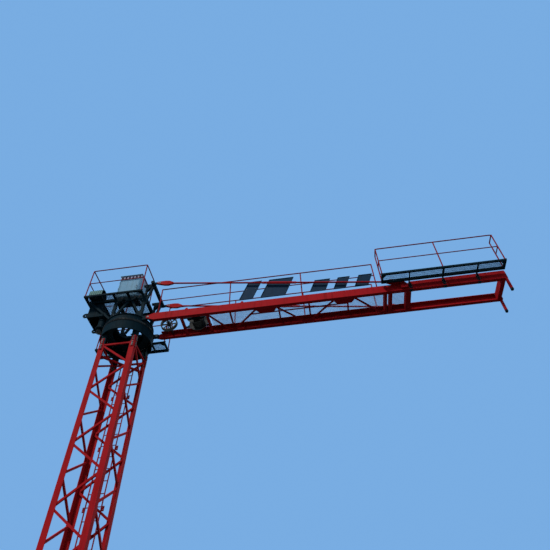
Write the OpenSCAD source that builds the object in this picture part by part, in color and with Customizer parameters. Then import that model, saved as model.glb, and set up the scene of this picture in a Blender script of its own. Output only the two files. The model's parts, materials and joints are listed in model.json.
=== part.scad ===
// Tower crane of the flat-top kind, without its jib: lattice mast, slewing unit and counter-jib.
// Origin: centre of the underside of the base frame. +X points to the outer end of the
// counter-jib, -Y is the side with the side platform, +Z is up. Millimetres.

/* [Mast] */
// Width of the mast over its corner angles
mast_w = 1000; // [950:10:1020]
// Width of each flange of a corner angle
leg_w = 140; // [110:5:160]
// Thickness of a corner angle
leg_t = 14; // [10:1:20]
// Height of one bay of the zigzag lacing
bay_h = 1465; // [1300:5:1550]
// Bays in the lower section
lower_bays = 5; // [4:1:5]
// Bays in the middle section
middle_bays = 6; // [5:1:6]
// Bays in the upper section
upper_bays = 6; // [5:1:6]
// Width of a lacing bar, seen square to its face
lace_w = 52; // [40:2:64]
// Depth of a lacing bar
lace_d = 40; // [30:2:50]
// Height of the lowest lacing node above the ground
foot_h = 420; // [380:10:500]
// Side of a diagonal bar across the mast at a section joint
cross_bar = 50; // [40:2:60]
// Width of a fishplate at a section joint
fish_w = 90; // [70:5:100]
// Height of a fishplate
fish_h = 380; // [300:10:500]
// Thickness of a fishplate
fish_t = 12; // [8:1:16]

/* [Base frame] */
// Side of a base plate
plate_w = 420; // [380:10:500]
// Thickness of a base plate
plate_t = 30; // [20:1:40]
// Distance between two anchor holes in a base plate
anchor_pitch = 320; // [300:10:340]
// Diameter of an anchor hole
anchor_d = 33; // [26:1:40]
// Depth of the crossed base beams
base_beam_h = 260; // [200:10:300]
// Flange width of the crossed base beams
base_beam_w = 180; // [150:10:220]
// Flange thickness of the crossed base beams
base_beam_t = 16; // [10:1:20]

/* [Ladder] */
// Width of the mast ladder
ladder_w = 400; // [350:10:450]
// Distance from rung to rung
rung_pitch = 300; // [250:10:330]
// Depth of a ladder stile
stile_d = 34; // [25:1:45]
// Width of a ladder stile
stile_w = 16; // [10:1:20]
// Diameter of a rung
rung_d = 22; // [18:1:28]

/* [Slewing support] */
// Height from the mast top to the lower rim of the drum
support_h = 330; // [250:10:400]
// Height of the fixed drum
drum_h = 310; // [250:10:400]
// Outer radius of the fixed drum
drum_r = 716; // [712:1:720]
// Wall thickness of both drums
drum_t = 12; // [8:1:16]
// Radius of the climbing hole through the rings
hole_r = 430; // [380:10:480]
// Thickness of the drum's top plate
top_plate_t = 25; // [15:1:35]

/* [Slewing ring] */
// Gear module of the ring and its pinion
gear_m = 12; // [12:1:12]
// Teeth on the ring
ring_teeth = 120; // [120:1:120]
// Teeth on the pinion
pinion_teeth = 15; // [15:1:15]
// Diameter of the pinion's shaft
pinion_shaft_d = 70; // [60:2:80]
// Height of the toothed ring
ring_h = 75; // [60:1:90]
// Radial width of the toothed ring's body
ring_wall = 105; // [90:5:120]
// Height of the upper, turning race
race_h = 45; // [30:1:60]
// Running gap between the two races
race_gap = 0.3; // [0.2:0.1:0.5]
// Direction of the slewing drive from the axis, in degrees
drive_angle = 200; // [195:1:205]

/* [Turret] */
// Height of the turret drum above the race
turret_h = 165; // [140:5:200]
// Outer radius of the turret drum
turret_r = 690; // [680:1:700]
// Distance between the middles of the two side frames
frame_y = 800; // [780:10:840]
// Side of a square tube of the side frames
tube_w = 80; // [70:5:100]
// Height of the side frames' top tube above the turret drum
frame_h = 920; // [850:10:1000]
// Front post, measured from the slewing axis
post_front_x = 440; // [420:10:460]
// Rear post on the jib side, measured from the slewing axis
post_rear_x = 430; // [400:10:460]
// Reach of the side frames' top tubes towards the jib
nose_x = 1330; // [1250:10:1400]
// Place of the pendant head's cross tube over the counter-jib
head_x = 640; // [620:10:660]
// Height of the pendant pins above the platform level
head_rise = 1170; // [1150:10:1250]
// Side of the pendant head's cross tube
head_w = 90; // [70:5:110]
// Start of the pendant head's arms over the deck
head_back_x = 330; // [310:10:350]
// Height of the pendant head's cross tube above the inner pendant pins
head_lift = 40; // [30:5:50]
// Reach of the inner pendant lugs beyond the cross tube
lug_reach = 135; // [120:5:150]
// Diameter of the jib pin holes
jib_pin_d = 60; // [50:1:70]
// Depth of the jib root box
root_h = 590; // [500:10:620]
// Length of the jib root box
root_len = 390; // [340:10:400]

/* [Deck and rear platform] */
// Reach of the deck towards the jib, from the slewing axis
deck_reach = 1400; // [1350:10:1450]
// Near edge of the deck from the slewing plane
deck_near = 650; // [600:10:700]
// Width of the control cabinet
cabinet_w = 680; // [640:10:690]
// Depth of the control cabinet
cabinet_d = 440; // [380:10:450]
// Height of the control cabinet
cabinet_h = 800; // [760:10:860]
// Jib side of the control cabinet from the slewing axis
cabinet_back = 530; // [520:5:550]
// Strip of grating between the near edge of the deck and the cabinet
cabinet_inset = 210; // [180:10:240]
// Height of the vent band on the cabinet
vent_h = 170; // [150:10:200]
// Height of the deck's railing
deck_rail_h = 1160; // [1100:10:1200]
// Far end of the deck's front railing from the slewing plane
deck_gate_y = 100; // [60:10:140]
// Length of the resistor box
resistor_len = 400; // [350:10:420]
// Width of the resistor box
resistor_w = 320; // [280:10:360]
// Height of the resistor box up to its rounded top
resistor_h = 150; // [120:10:200]
// Width of the rear platform
rear_w = 440; // [420:10:500]
// Reach of the rear platform towards the jib
rear_reach = 1370; // [1300:10:1400]
// Reach of the rear platform towards the counter-jib
rear_front = 830; // [800:10:900]
// Gap between the far side frame and the rear platform
rear_gap = 310; // [280:10:330]

/* [Pendants] */
// Diameter of a pendant bar
pendant_d = 50; // [40:2:54]
// Diameter of a pendant pin
pendant_pin_d = 40; // [30:1:46]
// Place of the outer pendant pins on the beams
anchor_x = 7960; // [7800:10:8000]
// Height of the outer pendant pins above the beams
anchor_rise = 20; // [10:5:30]
// Distance between the two pendants
pendant_y = 990; // [980:2:1000]
// Thickness of a pendant lug
lug_t = 25; // [16:1:30]
// Length of a forked end from the pin to the bar
fork_len = 480; // [400:10:600]
// Greatest depth of a forked end
fork_h = 170; // [150:5:180]
// Thickness of one fork plate
fork_t = 16; // [10:1:20]
// Start of the thicker splice in a pendant, from its inner pin
splice_at = 3250; // [3000:50:3500]
// Length of the splice
splice_len = 1000; // [800:50:1200]

/* [Counter-jib] */
// Distance between the webs' middles
beam_y = 890; // [860:10:920]
// Depth of a main beam
beam_h = 255; // [240:5:270]
// Flange width of a main beam
beam_w = 100; // [80:5:120]
// Web and flange thickness of a main beam
beam_t = 14; // [10:1:18]
// Place of the foot pins
foot_pin_x = 690; // [680:10:710]
// Diameter of a foot pin
foot_pin_d = 60; // [50:1:70]
// Length of a beam's tapered foot
foot_taper = 170; // [150:10:200]
// Thickness of the turret's ear beside a beam's foot
foot_ear_t = 40; // [30:5:45]
// Outer end of the main beams
beam_end_x = 10720; // [10000:10:11500]
// Inner edge of the ballast bay
bay_inner_x = 8150; // [7950:10:8300]
// Inner end of the side platform
side_x = 7370; // [7100:10:7500]
// Length of a tail post below the beams
tail_drop = 440; // [350:10:500]
// Side of a tail post
tail_w = 60; // [50:5:70]
// Place of the first far node of the bracing
brace_start = 3000; // [2950:10:3050]
// Width of a bracing bar
brace_w = 60; // [50:5:70]
// Thickness of a bracing bar
brace_t = 12; // [8:1:16]
// Half the distance between two bars at a near node
node_gap = 200; // [150:10:220]
// Depth of a gusset plate at a near node
gusset_d = 260; // [240:10:270]
// Depth and width of a tie under the walkway
tie_w = 45; // [40:5:60]

/* [Name plates] */
// Height of the bare slanted plates
plate_rise = 720; // [650:10:750]
// Height of the three lower ones
low_plate_rise = 460; // [440:10:500]
// Offset of a plate's top against its foot, for each metre of height
plate_slant = 390; // [300:10:420]
// Thickness of a plate
sign_t = 12; // [3:1:15]

/* [Walkways and railings] */
// Distance from post to post on the counter-jib
post_pitch = 2100; // [2080:5:2110]
// Outer edge of the side platform from the slewing plane
side_edge_y = 880; // [850:10:1000]
// Gap between the side platform and the near beam
side_gap = 85; // [85:5:100]
// Height of a railing
rail_h = 1100; // [1000:10:1150]
// Height of the middle rail
mid_rail_h = 560; // [500:10:600]
// Height of the counter-jib's railing above its beams
beam_rail_h = 1020; // [950:10:1100]
// Diameter of the railing tubes
rail_d = 34; // [26:2:42]
// Depth of the dark platform frames
edge_h = 60; // [50:5:80]
// Width of the dark platform frames' tubes
edge_w = 50; // [40:5:60]
// Width of a bearer under the side platform
bearer_w = 24; // [20:2:30]
// Thickness of a grating
mesh_t = 20; // [15:1:30]
// Width of one grating bar
mesh_bar = 12; // [8:1:20]
// Distance from one grating bar to the next
mesh_pitch = 250; // [200:10:300]

/* [Hoist] */
// Place of the hoist drum
drum_x = 2020; // [1950:10:2100]
// Radius over the hoist drum's flanges
hoist_flange_r = 280; // [260:10:300]
// Radius of the hoist drum's barrel
hoist_barrel_r = 170; // [150:10:190]
// Thickness of a hoist drum flange
hoist_flange_t = 18; // [12:1:24]
// Length of the barrel between the flanges
hoist_len = 300; // [260:10:310]
// Diameter of the hoist shaft
shaft_d = 70; // [60:1:80]
// Clear width between the winch plates
winch_w = 370; // [364:2:380]
// Thickness of a winch plate
winch_t = 20; // [12:1:24]
// Height of the winch shaft under the platform level
winch_drop = 60; // [50:5:80]
// Radius of the winch motor
motor_r = 85; // [70:5:90]
// Length of the winch motor
motor_len = 160; // [140:10:170]
// Place of the cable reel
reel_x = 1180; // [1160:5:1200]
// Radius of the cable reel
reel_r = 245; // [220:5:260]
// Width of the cable reel
reel_w = 100; // [80:10:120]
// Spokes of the cable reel
reel_spokes = 8; // [5:1:10]

/* [Hidden] */
$fn = 48;
pin_gap = 0.3;
seat_gap = 0.1;
clear = 5;

paint_red = "firebrick";
paint_dark = "darkslategray";
mesh_grey = "slategray";

base_top = plate_t;
lower_top = foot_h + lower_bays * bay_h;
middle_top = lower_top + middle_bays * bay_h;
mast_top = middle_top + upper_bays * bay_h;
inner_w = mast_w - 2 * leg_t;
lace_y = mast_w / 2 - leg_t;
work_u = inner_w / 2 - 40;
node_half = 14;

drum_z = mast_top + support_h;
ring_z = drum_z + drum_h;
race_z = ring_z + ring_h + race_gap;
turret_z = race_z + race_h;
seat_t = 2 * drum_t;
deck_level = turret_z + turret_h + 150;
ring_pitch_r = gear_m * ring_teeth / 2;
pinion_pitch_r = gear_m * pinion_teeth / 2;
drive_r = ring_pitch_r + pinion_pitch_r;
drive_x = drive_r * cos(drive_angle);
drive_y = drive_r * sin(drive_angle);

beam_top = deck_level - 50;
beam_z = beam_top - beam_h / 2;
beam_foot = beam_top - beam_h;
frame_z = turret_z + turret_h;
frame_top = frame_z + frame_h;
upper_floor = frame_top + edge_h;
head_z = deck_level + head_rise;
flange_y = beam_y + beam_t - beam_w;

// A flat strip from p to q in the plane
module strip(p, q, w) {
  d = q - p;
  translate(p) rotate(atan2(d[1], d[0])) translate([0, -w / 2]) square([norm(d), w]);
}

// A round bar of few sides from p to q
module rod(p, q, r, sides = 8) {
  d = q - p;
  translate(p)
    rotate([0, acos(d[2] / norm(d)), atan2(d[1], d[0])])
      cylinder(h = norm(d), r = r, $fn = sides);
}

// A square tube, solid, from p to q in a plane of constant Y
module tube_xz(p, q, y, w) {
  translate([0, y + w / 2, 0]) rotate([90, 0, 0]) linear_extrude(w) strip(p, q, w);
}

// The four copies of a corner piece
module corners() {
  for (turn = [0:90:270]) rotate(turn) children();
}

module leg_profile() {
  corner = mast_w / 2;
  translate([corner - leg_w, corner - leg_t]) square([leg_w, leg_t]);
  translate([corner - leg_t, corner - leg_w]) square([leg_t, leg_w]);
}

module legs(from_z, to_z) {
  translate([0, 0, from_z]) linear_extrude(to_z - from_z) corners() leg_profile();
}

// One side's zigzag between two heights, drawn with X across and Y up
module zigzag(from_z, bays) {
  for (k = [0:bays - 1]) {
    low = from_z + k * bay_h;
    strip([-work_u, low + node_half], [work_u, low + bay_h / 2 - node_half], lace_w);
    strip([work_u, low + bay_h / 2 - node_half], [work_u, low + bay_h / 2 + node_half], lace_w);
    strip([work_u, low + bay_h / 2 + node_half], [-work_u, low + bay_h - node_half], lace_w);
    if (k > 0) strip([-work_u, low - node_half], [-work_u, low + node_half], lace_w);
  }
}

module section_side(from_z, bays, top_rail) {
  top = from_z + bays * bay_h;
  intersection() {
    union() {
      zigzag(from_z, bays);
      if (top_rail) translate([-inner_w / 2, top - lace_w]) square([inner_w, lace_w]);
    }
    translate([-inner_w / 2 + lace_d, from_z + 4])
      square([inner_w - 2 * lace_d, bays * bay_h - 8]);
  }
}

module lacing_side() {
  translate([0, -lace_y + lace_d, 0]) rotate([90, 0, 0]) linear_extrude(lace_d) {
    section_side(foot_h, lower_bays, false);
    section_side(lower_top, middle_bays, false);
    section_side(middle_top, upper_bays, true);
  }
}

module base_frame() color(paint_red) {
  place = mast_w / 2 - leg_w / 2;
  difference() {
    union() {
      corners() translate([place - plate_w / 2, place - plate_w / 2, 0])
        cube([plate_w, plate_w, plate_t]);
      intersection() {
        for (turn = [45, 135]) rotate(turn) base_beam();
        translate([-inner_w / 2, -inner_w / 2, 0]) cube([inner_w, inner_w, base_beam_h]);
      }
    }
    corners() for (dx = [-0.5, 0.5], dy = [-0.5, 0.5])
      translate([place + dx * anchor_pitch, place + dy * anchor_pitch, -1])
        cylinder(h = plate_t + 2, d = anchor_d);
  }
}

module base_beam() {
  reach = mast_w;
  translate([-reach, -base_beam_w / 2, 0]) cube([2 * reach, base_beam_w, base_beam_t]);
  translate([-reach, -base_beam_w / 2, base_beam_h - base_beam_t])
    cube([2 * reach, base_beam_w, base_beam_t]);
  translate([-reach, -base_beam_t / 2, 0]) cube([2 * reach, base_beam_t, base_beam_h]);
}

module mast_legs_lower() color(paint_red) legs(base_top, lower_top);
module mast_legs_middle() color(paint_red) legs(lower_top, middle_top);
module mast_legs_upper() color(paint_red) legs(middle_top, mast_top);

module lacing_near() color(paint_red) lacing_side();
module lacing_far() color(paint_red) rotate(180) lacing_side();
module lacing_jib_side() color(paint_red) rotate(-90) lacing_side();
module lacing_counter_side() color(paint_red) rotate(90) lacing_side();

module fishplates() color(paint_red) {
  for (level = [lower_top, middle_top, mast_top]) corners() {
    edge = mast_w / 2;
    up = level - fish_h / 2;
    translate([edge - fish_w - leg_t, edge, up]) cube([fish_w, fish_t, fish_h]);
    translate([edge, edge - fish_w - leg_t, up]) cube([fish_t, fish_w, fish_h]);
  }
}

module cross_bars() color(paint_red) {
  for (level = [lower_top, middle_top, mast_top])
    translate([0, 0, level - bay_h / 4 - cross_bar / 2]) linear_extrude(cross_bar)
      intersection() {
        strip([-mast_w, -mast_w], [mast_w, mast_w], cross_bar);
        square(inner_w, center = true);
      }
}

module ladder() color(paint_red) {
  back = lace_y - lace_d;
  low = foot_h;
  high = mast_top - 200;
  rungs = floor((high - low - rung_pitch / 2) / rung_pitch);
  for (side = [-1, 1])
    translate([side * (ladder_w - stile_w) / 2 - stile_w / 2, back - stile_d, low])
      cube([stile_w, stile_d, high - low]);
  for (k = [0:rungs])
    translate([-ladder_w / 2 + stile_w / 2, back - stile_d / 2, low + rung_pitch / 2 + k * rung_pitch])
      rotate([0, 90, 0]) cylinder(h = ladder_w - stile_w, d = rung_d, $fn = 8);
}

module slewing_support() color(paint_dark) difference() {
  union() {
    legs(mast_top, ring_z - top_plate_t);
    translate([0, 0, drum_z]) difference() {
      cylinder(h = drum_h, r = drum_r);
      translate([0, 0, -1]) cylinder(h = drum_h + 2, r = drum_r - drum_t);
    }
    translate([0, 0, ring_z - top_plate_t]) cylinder(h = top_plate_t, r = drum_r);
    translate([0, 0, drum_z]) difference() {
      cylinder(h = drum_t, r = drum_r + drum_t);
      translate([0, 0, -1]) cylinder(h = drum_t + 2, r = drum_r - drum_t);
    }
  }
  translate([0, 0, ring_z - top_plate_t - 1]) cylinder(h = top_plate_t + 2, r = hole_r);
}

// Outline of a spur gear with straight-sided teeth, a tooth on +X
function gear_points(teeth, r, slim) = [
  for (k = [0:teeth - 1])
    for (step = [[-0.30, -1.15], [-0.13, 0.90], [0.13, 0.90], [0.30, -1.15]])
      let (
        turn = (k + step[0] * slim) * 360 / teeth,
        out = r + step[1] * gear_m
      )
      [out * cos(turn), out * sin(turn)]
];

module slewing_ring() color("dimgray") translate([0, 0, ring_z]) difference() {
  linear_extrude(ring_h) polygon(gear_points(ring_teeth, ring_pitch_r, 1));
  translate([0, 0, -1]) cylinder(h = ring_h + 2, r = ring_pitch_r - ring_wall);
}

module turret_drum() color(paint_dark) difference() {
  union() {
    translate([0, 0, race_z]) cylinder(h = race_h, r = turret_r);
    translate([0, 0, turret_z]) cylinder(h = turret_h, r = turret_r - 2 * drum_t);
    translate([0, 0, frame_z - drum_t]) cylinder(h = drum_t, r = turret_r);
    for (side = [-1, 1]) foot_ear(side);
    drive_seat();
  }
  translate([0, 0, race_z - 1]) cylinder(h = race_h + 2, r = ring_pitch_r - ring_wall);
  translate([0, 0, turret_z - 1]) cylinder(h = turret_h - drum_t + 1, r = turret_r - 3 * drum_t);
  translate([0, 0, frame_z - drum_t - 1]) cylinder(h = drum_t + 2, r = hole_r);
  for (side = [-1, 1])
    translate([foot_pin_x, side * beam_y / 2 + 60, beam_z]) rotate([90, 0, 0])
      cylinder(h = 120, d = foot_pin_d + 2 * pin_gap);
  translate([drive_x, drive_y, turret_z - 1])
    cylinder(h = seat_t + 2, d = pinion_shaft_d + 2 * pin_gap);
}

foot_gap = 0.5;
foot_ear_y = beam_y / 2 - beam_t / 2 - foot_gap - foot_ear_t / 2;

// The ear on the inner side of a beam's foot
module foot_ear(side) {
  ear_h = 150;
  inner_x = turret_r * 0.72;
  y = side * foot_ear_y - foot_ear_t / 2;
  translate([inner_x, y, beam_z - ear_h / 2]) cube([foot_pin_x - inner_x, foot_ear_t, ear_h]);
  translate([foot_pin_x, y + foot_ear_t, beam_z]) rotate([90, 0, 0])
    cylinder(h = foot_ear_t, d = ear_h);
}

module drive_seat() {
  translate([drive_x, drive_y, turret_z]) cylinder(h = seat_t, r = 150);
  rotate(drive_angle) translate([turret_r - 3 * drum_t, -120, turret_z])
    cube([drive_r - turret_r + 2 * drum_t, 240, seat_t]);
}

module slewing_drive() color(paint_dark) translate([drive_x, drive_y, turret_z + seat_t + seat_gap]) {
  cylinder(h = 30, r = 140);
  cylinder(h = 260, r = 105);
  translate([0, 0, 260]) cylinder(h = 22, r = 120);
  translate([0, 0, 282]) cylinder(h = 250, r = 78);
  translate([0, 0, 532]) cylinder(h = 50, r = 82);
}

module slewing_pinion() color("dimgray") {
  half_tooth = 180 / pinion_teeth;
  ring_phase = drive_angle % (360 / ring_teeth);
  translate([drive_x, drive_y, ring_z + clear])
    rotate(drive_angle + 180 + half_tooth + ring_phase * ring_teeth / pinion_teeth)
      linear_extrude(ring_h - clear) polygon(gear_points(pinion_teeth, pinion_pitch_r, 0.9));
  translate([drive_x, drive_y, ring_z + clear])
    cylinder(h = turret_z + seat_t - pin_gap - ring_z - clear, d = pinion_shaft_d);
}

// One side of the turret: two posts, two tubes and three braces in one plane
module turret_side(side) {
  half = tube_w / 2;
  low = frame_z + half;
  high = frame_top - half;
  brace = tube_w * 0.75;
  y = side * frame_y / 2;
  tube_xz([-post_rear_x - half, low], [post_front_x + half, low], y, tube_w);
  tube_xz([-nose_x, high], [post_front_x + half, high], y, tube_w);
  tube_xz([-post_rear_x, frame_z], [-post_rear_x, frame_top], y, tube_w);
  tube_xz([post_front_x, frame_z], [post_front_x, frame_top], y, tube_w);
  tube_xz([-post_rear_x, low], [0, high], y, brace);
  tube_xz([0, high], [post_front_x, low], y, brace);
  tube_xz([-post_rear_x, low], [-nose_x + tube_w, high], y, brace);
}

module turret_side_near() color(paint_dark) turret_side(-1);
module turret_side_far() color(paint_dark) turret_side(1);

module turret_cross_tubes() color(paint_dark) {
  inner = frame_y - tube_w;
  for (x = [-post_rear_x, post_front_x], z = [frame_z, frame_top - tube_w])
    translate([x - tube_w / 2, -inner / 2, z]) cube([tube_w, inner, tube_w]);
}

root_x = -nose_x + 60;
root_w = frame_y - tube_w;
root_z = frame_top - root_h;
jib_pin_x = root_x - 60;
jib_pin_z = root_z + 90;

// Welded box that carries the two jib pins
module jib_root() color(paint_dark) {
  wall = 20;
  ear_t = 30;
  ear_h = 160;
  difference() {
    translate([root_x, -root_w / 2, root_z]) cube([root_len, root_w, root_h - clear]);
    translate([root_x + wall, -root_w / 2 + wall, root_z - 1])
      cube([root_len - 2 * wall, root_w - 2 * wall, root_h - clear - wall + 1]);
  }
  for (side = [-1, 1]) {
    y = side * (root_w / 2 - ear_t / 2) + ear_t / 2;
    difference() {
      union() {
        translate([jib_pin_x, y - ear_t, jib_pin_z - ear_h / 2])
          cube([root_x - jib_pin_x + 1, ear_t, ear_h]);
        translate([jib_pin_x, y, jib_pin_z]) rotate([90, 0, 0]) cylinder(h = ear_t, d = ear_h);
      }
      translate([jib_pin_x, y + 1, jib_pin_z]) rotate([90, 0, 0])
        cylinder(h = ear_t + 2, d = jib_pin_d);
    }
  }
}

pin_x = head_x + head_w / 2 + lug_reach;

// Braced frame over the turret's front, with the inner pendant lugs
module pendant_head() color(paint_dark) {
  post_w = tube_w * 0.8;
  tube_z = head_z + head_lift;
  for (side = [-1, 1]) {
    y = side * frame_y / 2;
    translate([post_front_x - post_w / 2, y - post_w / 2, frame_top])
      cube([post_w, post_w, tube_z - frame_top]);
    translate([head_back_x, y - post_w / 2, tube_z - post_w / 2])
      cube([head_x - head_back_x, post_w, post_w]);
    intersection() {
      tube_xz([post_front_x, frame_z + frame_h * 0.5], [head_x, tube_z], y, post_w);
      translate([post_front_x + tube_w / 2, y - tube_w, frame_z])
        cube([mast_w, 2 * tube_w, frame_h + head_rise]);
    }
    lug_y = side * pendant_y / 2;
    difference() {
      union() {
        translate([head_x, lug_y - lug_t / 2, head_z - 45]) cube([pin_x - head_x, lug_t, 90]);
        translate([pin_x, lug_y + lug_t / 2, head_z]) rotate([90, 0, 0])
          cylinder(h = lug_t, d = 90);
      }
      translate([pin_x, lug_y + lug_t, head_z]) rotate([90, 0, 0])
        cylinder(h = 2 * lug_t, d = pendant_pin_d + 2 * pin_gap);
    }
  }
  head_len = pendant_y + 2 * lug_t + 50;
  translate([head_x - head_w / 2, -head_len / 2, tube_z - head_w / 2])
    cube([head_w, head_len, head_w]);
}

module frame_of(x0, y0, x1, y1, z) {
  translate([x0, y0, z]) difference() {
    cube([x1 - x0, y1 - y0, edge_h]);
    translate([edge_w, edge_w, -1]) cube([x1 - x0 - 2 * edge_w, y1 - y0 - 2 * edge_w, edge_h + 2]);
  }
}

// A flat grating on a frame's inner rim, with its underside at z
module grating(x0, y0, x1, y1, z) {
  nx = ceil((x1 - x0) / mesh_pitch);
  ny = max(2, ceil((y1 - y0) / mesh_pitch));
  translate([0, 0, z]) linear_extrude(mesh_t) {
    for (k = [0:nx])
      translate([x0 + k * (x1 - x0 - mesh_bar) / nx, y0]) square([mesh_bar, y1 - y0]);
    for (k = [0:ny])
      translate([x0, y0 + k * (y1 - y0 - mesh_bar) / ny]) square([x1 - x0, mesh_bar]);
  }
}

module grating_in(x0, y0, x1, y1, z) {
  rim = edge_w - 4;
  grating(x0 + rim, y0 + rim, x1 - rim, y1 - rim, z);
}

// Posts at the given places, with a top and a middle rail along them
module railing(points, z, posts, top = rail_h, mid = mid_rail_h) {
  r = rail_d / 2;
  for (k = posts) rod([points[k][0], points[k][1], z], [points[k][0], points[k][1], z + top], r);
  for (k = [0:len(points) - 2]) {
    rod(concat(points[k], z + top - r), concat(points[k + 1], z + top - r), r);
    rod(concat(points[k], z + mid), concat(points[k + 1], z + mid), r);
  }
}

deck_x0 = -deck_reach;
deck_x1 = post_front_x - tube_w / 2 - clear;
deck_y0 = -deck_near;
deck_y1 = frame_y / 2 + tube_w / 2;
deck_bearers = 3;
bearer_pitch = (deck_x1 - edge_w - deck_x0) / (deck_bearers + 1);

module deck_frame() color(paint_dark) {
  frame_of(deck_x0, deck_y0, deck_x1, deck_y1, frame_top);
  for (k = [1:deck_bearers])
    translate([deck_x0 + k * bearer_pitch, deck_y0, frame_top])
      cube([edge_w, deck_y1 - deck_y0, edge_h]);
}

module deck_railing() color(paint_red) {
  in = edge_w / 2;
  railing([
    [deck_x1 - in, deck_gate_y], [deck_x1 - in, deck_y0 + in], [deck_x0 + in, deck_y0 + in],
    [deck_x0 + in, deck_y1 - in], [deck_x0 + deck_reach * 0.64, deck_y1 - in]
  ], upper_floor, [0, 1, 2, 3, 4], deck_rail_h);
}

cabinet_x = -cabinet_back;
cabinet_y = deck_y0 + edge_w + 10 + cabinet_inset;
resistor_y = deck_y0 + edge_w + 10;
floor_top = upper_floor + mesh_t;

module control_cabinet() color("lightsteelblue")
  translate([cabinet_x, cabinet_y, floor_top]) cube([cabinet_w, cabinet_d, cabinet_h]);

module cabinet_vent() color("lightgray") difference() {
  slots = 6;
  rim = 25;
  slot_pitch = cabinet_w / slots;
  translate([cabinet_x, cabinet_y, floor_top + cabinet_h]) cube([cabinet_w, cabinet_d, vent_h]);
  for (k = [0:slots - 1])
    translate([cabinet_x + (k + 0.2) * slot_pitch, cabinet_y - 1, floor_top + cabinet_h + rim])
      cube([slot_pitch * 0.6, cabinet_d + 2, vent_h - 2 * rim]);
}

// Ribbed resistor box with a rounded top
module resistor_cover() color("darkseagreen") {
  half = resistor_w / 2;
  translate([deck_x0 + edge_w + 60, resistor_y, floor_top]) {
    cube([resistor_len, resistor_w, resistor_h]);
    translate([0, half, resistor_h]) rotate([90, 0, 90]) intersection() {
      cylinder(h = resistor_len, r = half);
      translate([-half, -1, 0]) cube([resistor_w, half + 1, resistor_len]);
    }
  }
}

rear_x0 = -rear_reach;
rear_x1 = rear_front;
rear_y0 = frame_y / 2 + tube_w / 2 + rear_gap;
rear_y1 = rear_y0 + rear_w;

module rear_platform() color(paint_dark) {
  frame_of(rear_x0, rear_y0, rear_x1, rear_y1, frame_z);
  start = frame_y / 2 + tube_w / 2;
  for (x = [-post_rear_x, post_front_x - edge_w])
    translate([x, start, frame_z]) cube([edge_w, rear_y1 - start, edge_h]);
}

module rear_railing() color(paint_red) {
  in = edge_w / 2;
  railing([
    [rear_x0 + in, rear_y0 + in], [rear_x0 + in, rear_y1 - in],
    [rear_x1 - in, rear_y1 - in], [rear_x1 - in, rear_y0 + in]
  ], frame_z + edge_h, [0, 1, 2, 3]);
}

anchor_z = beam_top + anchor_rise;

// A main beam: a channel with its flat back outwards, a pointed foot and a pendant lug
module main_beam(side) {
  point_x = foot_pin_x + foot_taper;
  web_y = side * beam_y / 2;
  lug_y = side * pendant_y / 2;
  bracket_h = 140;
  bracket_top = anchor_z - fork_h / 2;
  bracket_w = (pendant_y - lug_t - beam_y - beam_t) / 2 + 2;
  difference() {
    union() {
      intersection() {
        translate([foot_pin_x, 0, beam_foot]) rotate([90, 0, 90])
          linear_extrude(beam_end_x - foot_pin_x) channel(side);
        translate([0, mast_w, 0]) rotate([90, 0, 0]) linear_extrude(2 * mast_w) polygon([
          [foot_pin_x, beam_z - 60], [point_x, beam_foot], [beam_end_x, beam_foot],
          [beam_end_x, beam_top], [point_x, beam_top], [foot_pin_x, beam_z + 60]
        ]);
      }
      translate([foot_pin_x, web_y + beam_t / 2, beam_z]) rotate([90, 0, 0])
        cylinder(h = beam_t, d = 120);
      translate([anchor_x, lug_y + lug_t / 2, anchor_z]) rotate([90, 0, 0])
        cylinder(h = lug_t, d = 90);
      translate([0, lug_y + lug_t / 2, 0]) rotate([90, 0, 0]) linear_extrude(lug_t) polygon([
        [anchor_x - 80, bracket_top - bracket_h], [anchor_x - 80, bracket_top],
        [anchor_x - 44, anchor_z + 10], [anchor_x + 44, anchor_z + 10],
        [anchor_x + 110, bracket_top], [anchor_x + 110, bracket_top - bracket_h]
      ]);
      translate([anchor_x - 80, side * (beam_y + beam_t) / 2 + (side > 0 ? -1 : 1 - bracket_w),
        bracket_top - bracket_h]) cube([190, bracket_w, bracket_h]);
    }
    translate([foot_pin_x, web_y + beam_t, beam_z]) rotate([90, 0, 0])
      cylinder(h = 2 * beam_t, d = foot_pin_d + 2 * pin_gap);
    translate([anchor_x, lug_y + lug_t, anchor_z]) rotate([90, 0, 0])
      cylinder(h = 2 * lug_t, d = pendant_pin_d + 2 * pin_gap);
  }
}

module channel(side) {
  translate([side * beam_y / 2 - beam_t / 2, 0]) square([beam_t, beam_h]);
  for (z = [0, beam_h - beam_t])
    translate([side > 0 ? beam_y / 2 + beam_t / 2 - beam_w : -beam_y / 2 - beam_t / 2, z])
      square([beam_w, beam_t]);
}

module beam_near() color(paint_red) main_beam(-1);
module beam_far() color(paint_red) main_beam(1);

clear_y = beam_y / 2 - beam_t / 2;
cross_low = beam_foot + beam_t;
cross_h = beam_h - 2 * beam_t;
winch_z = deck_level - winch_drop;
winch_x0 = drum_x - hoist_flange_r - 130;
winch_x1 = drum_x + hoist_flange_r + 60;
winch_end = winch_x1 + 60;
winch_seat = cross_low + 105;

brace_end = side_x + 30;
brace_bays = 2;
brace_pitch = (brace_end - brace_start) / brace_bays;
stringer_y = gusset_d - clear_y;
tie_places = [for (part = [0, 0.32, 0.52, 0.77]) brace_start + part * (brace_end - brace_start)];

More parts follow.
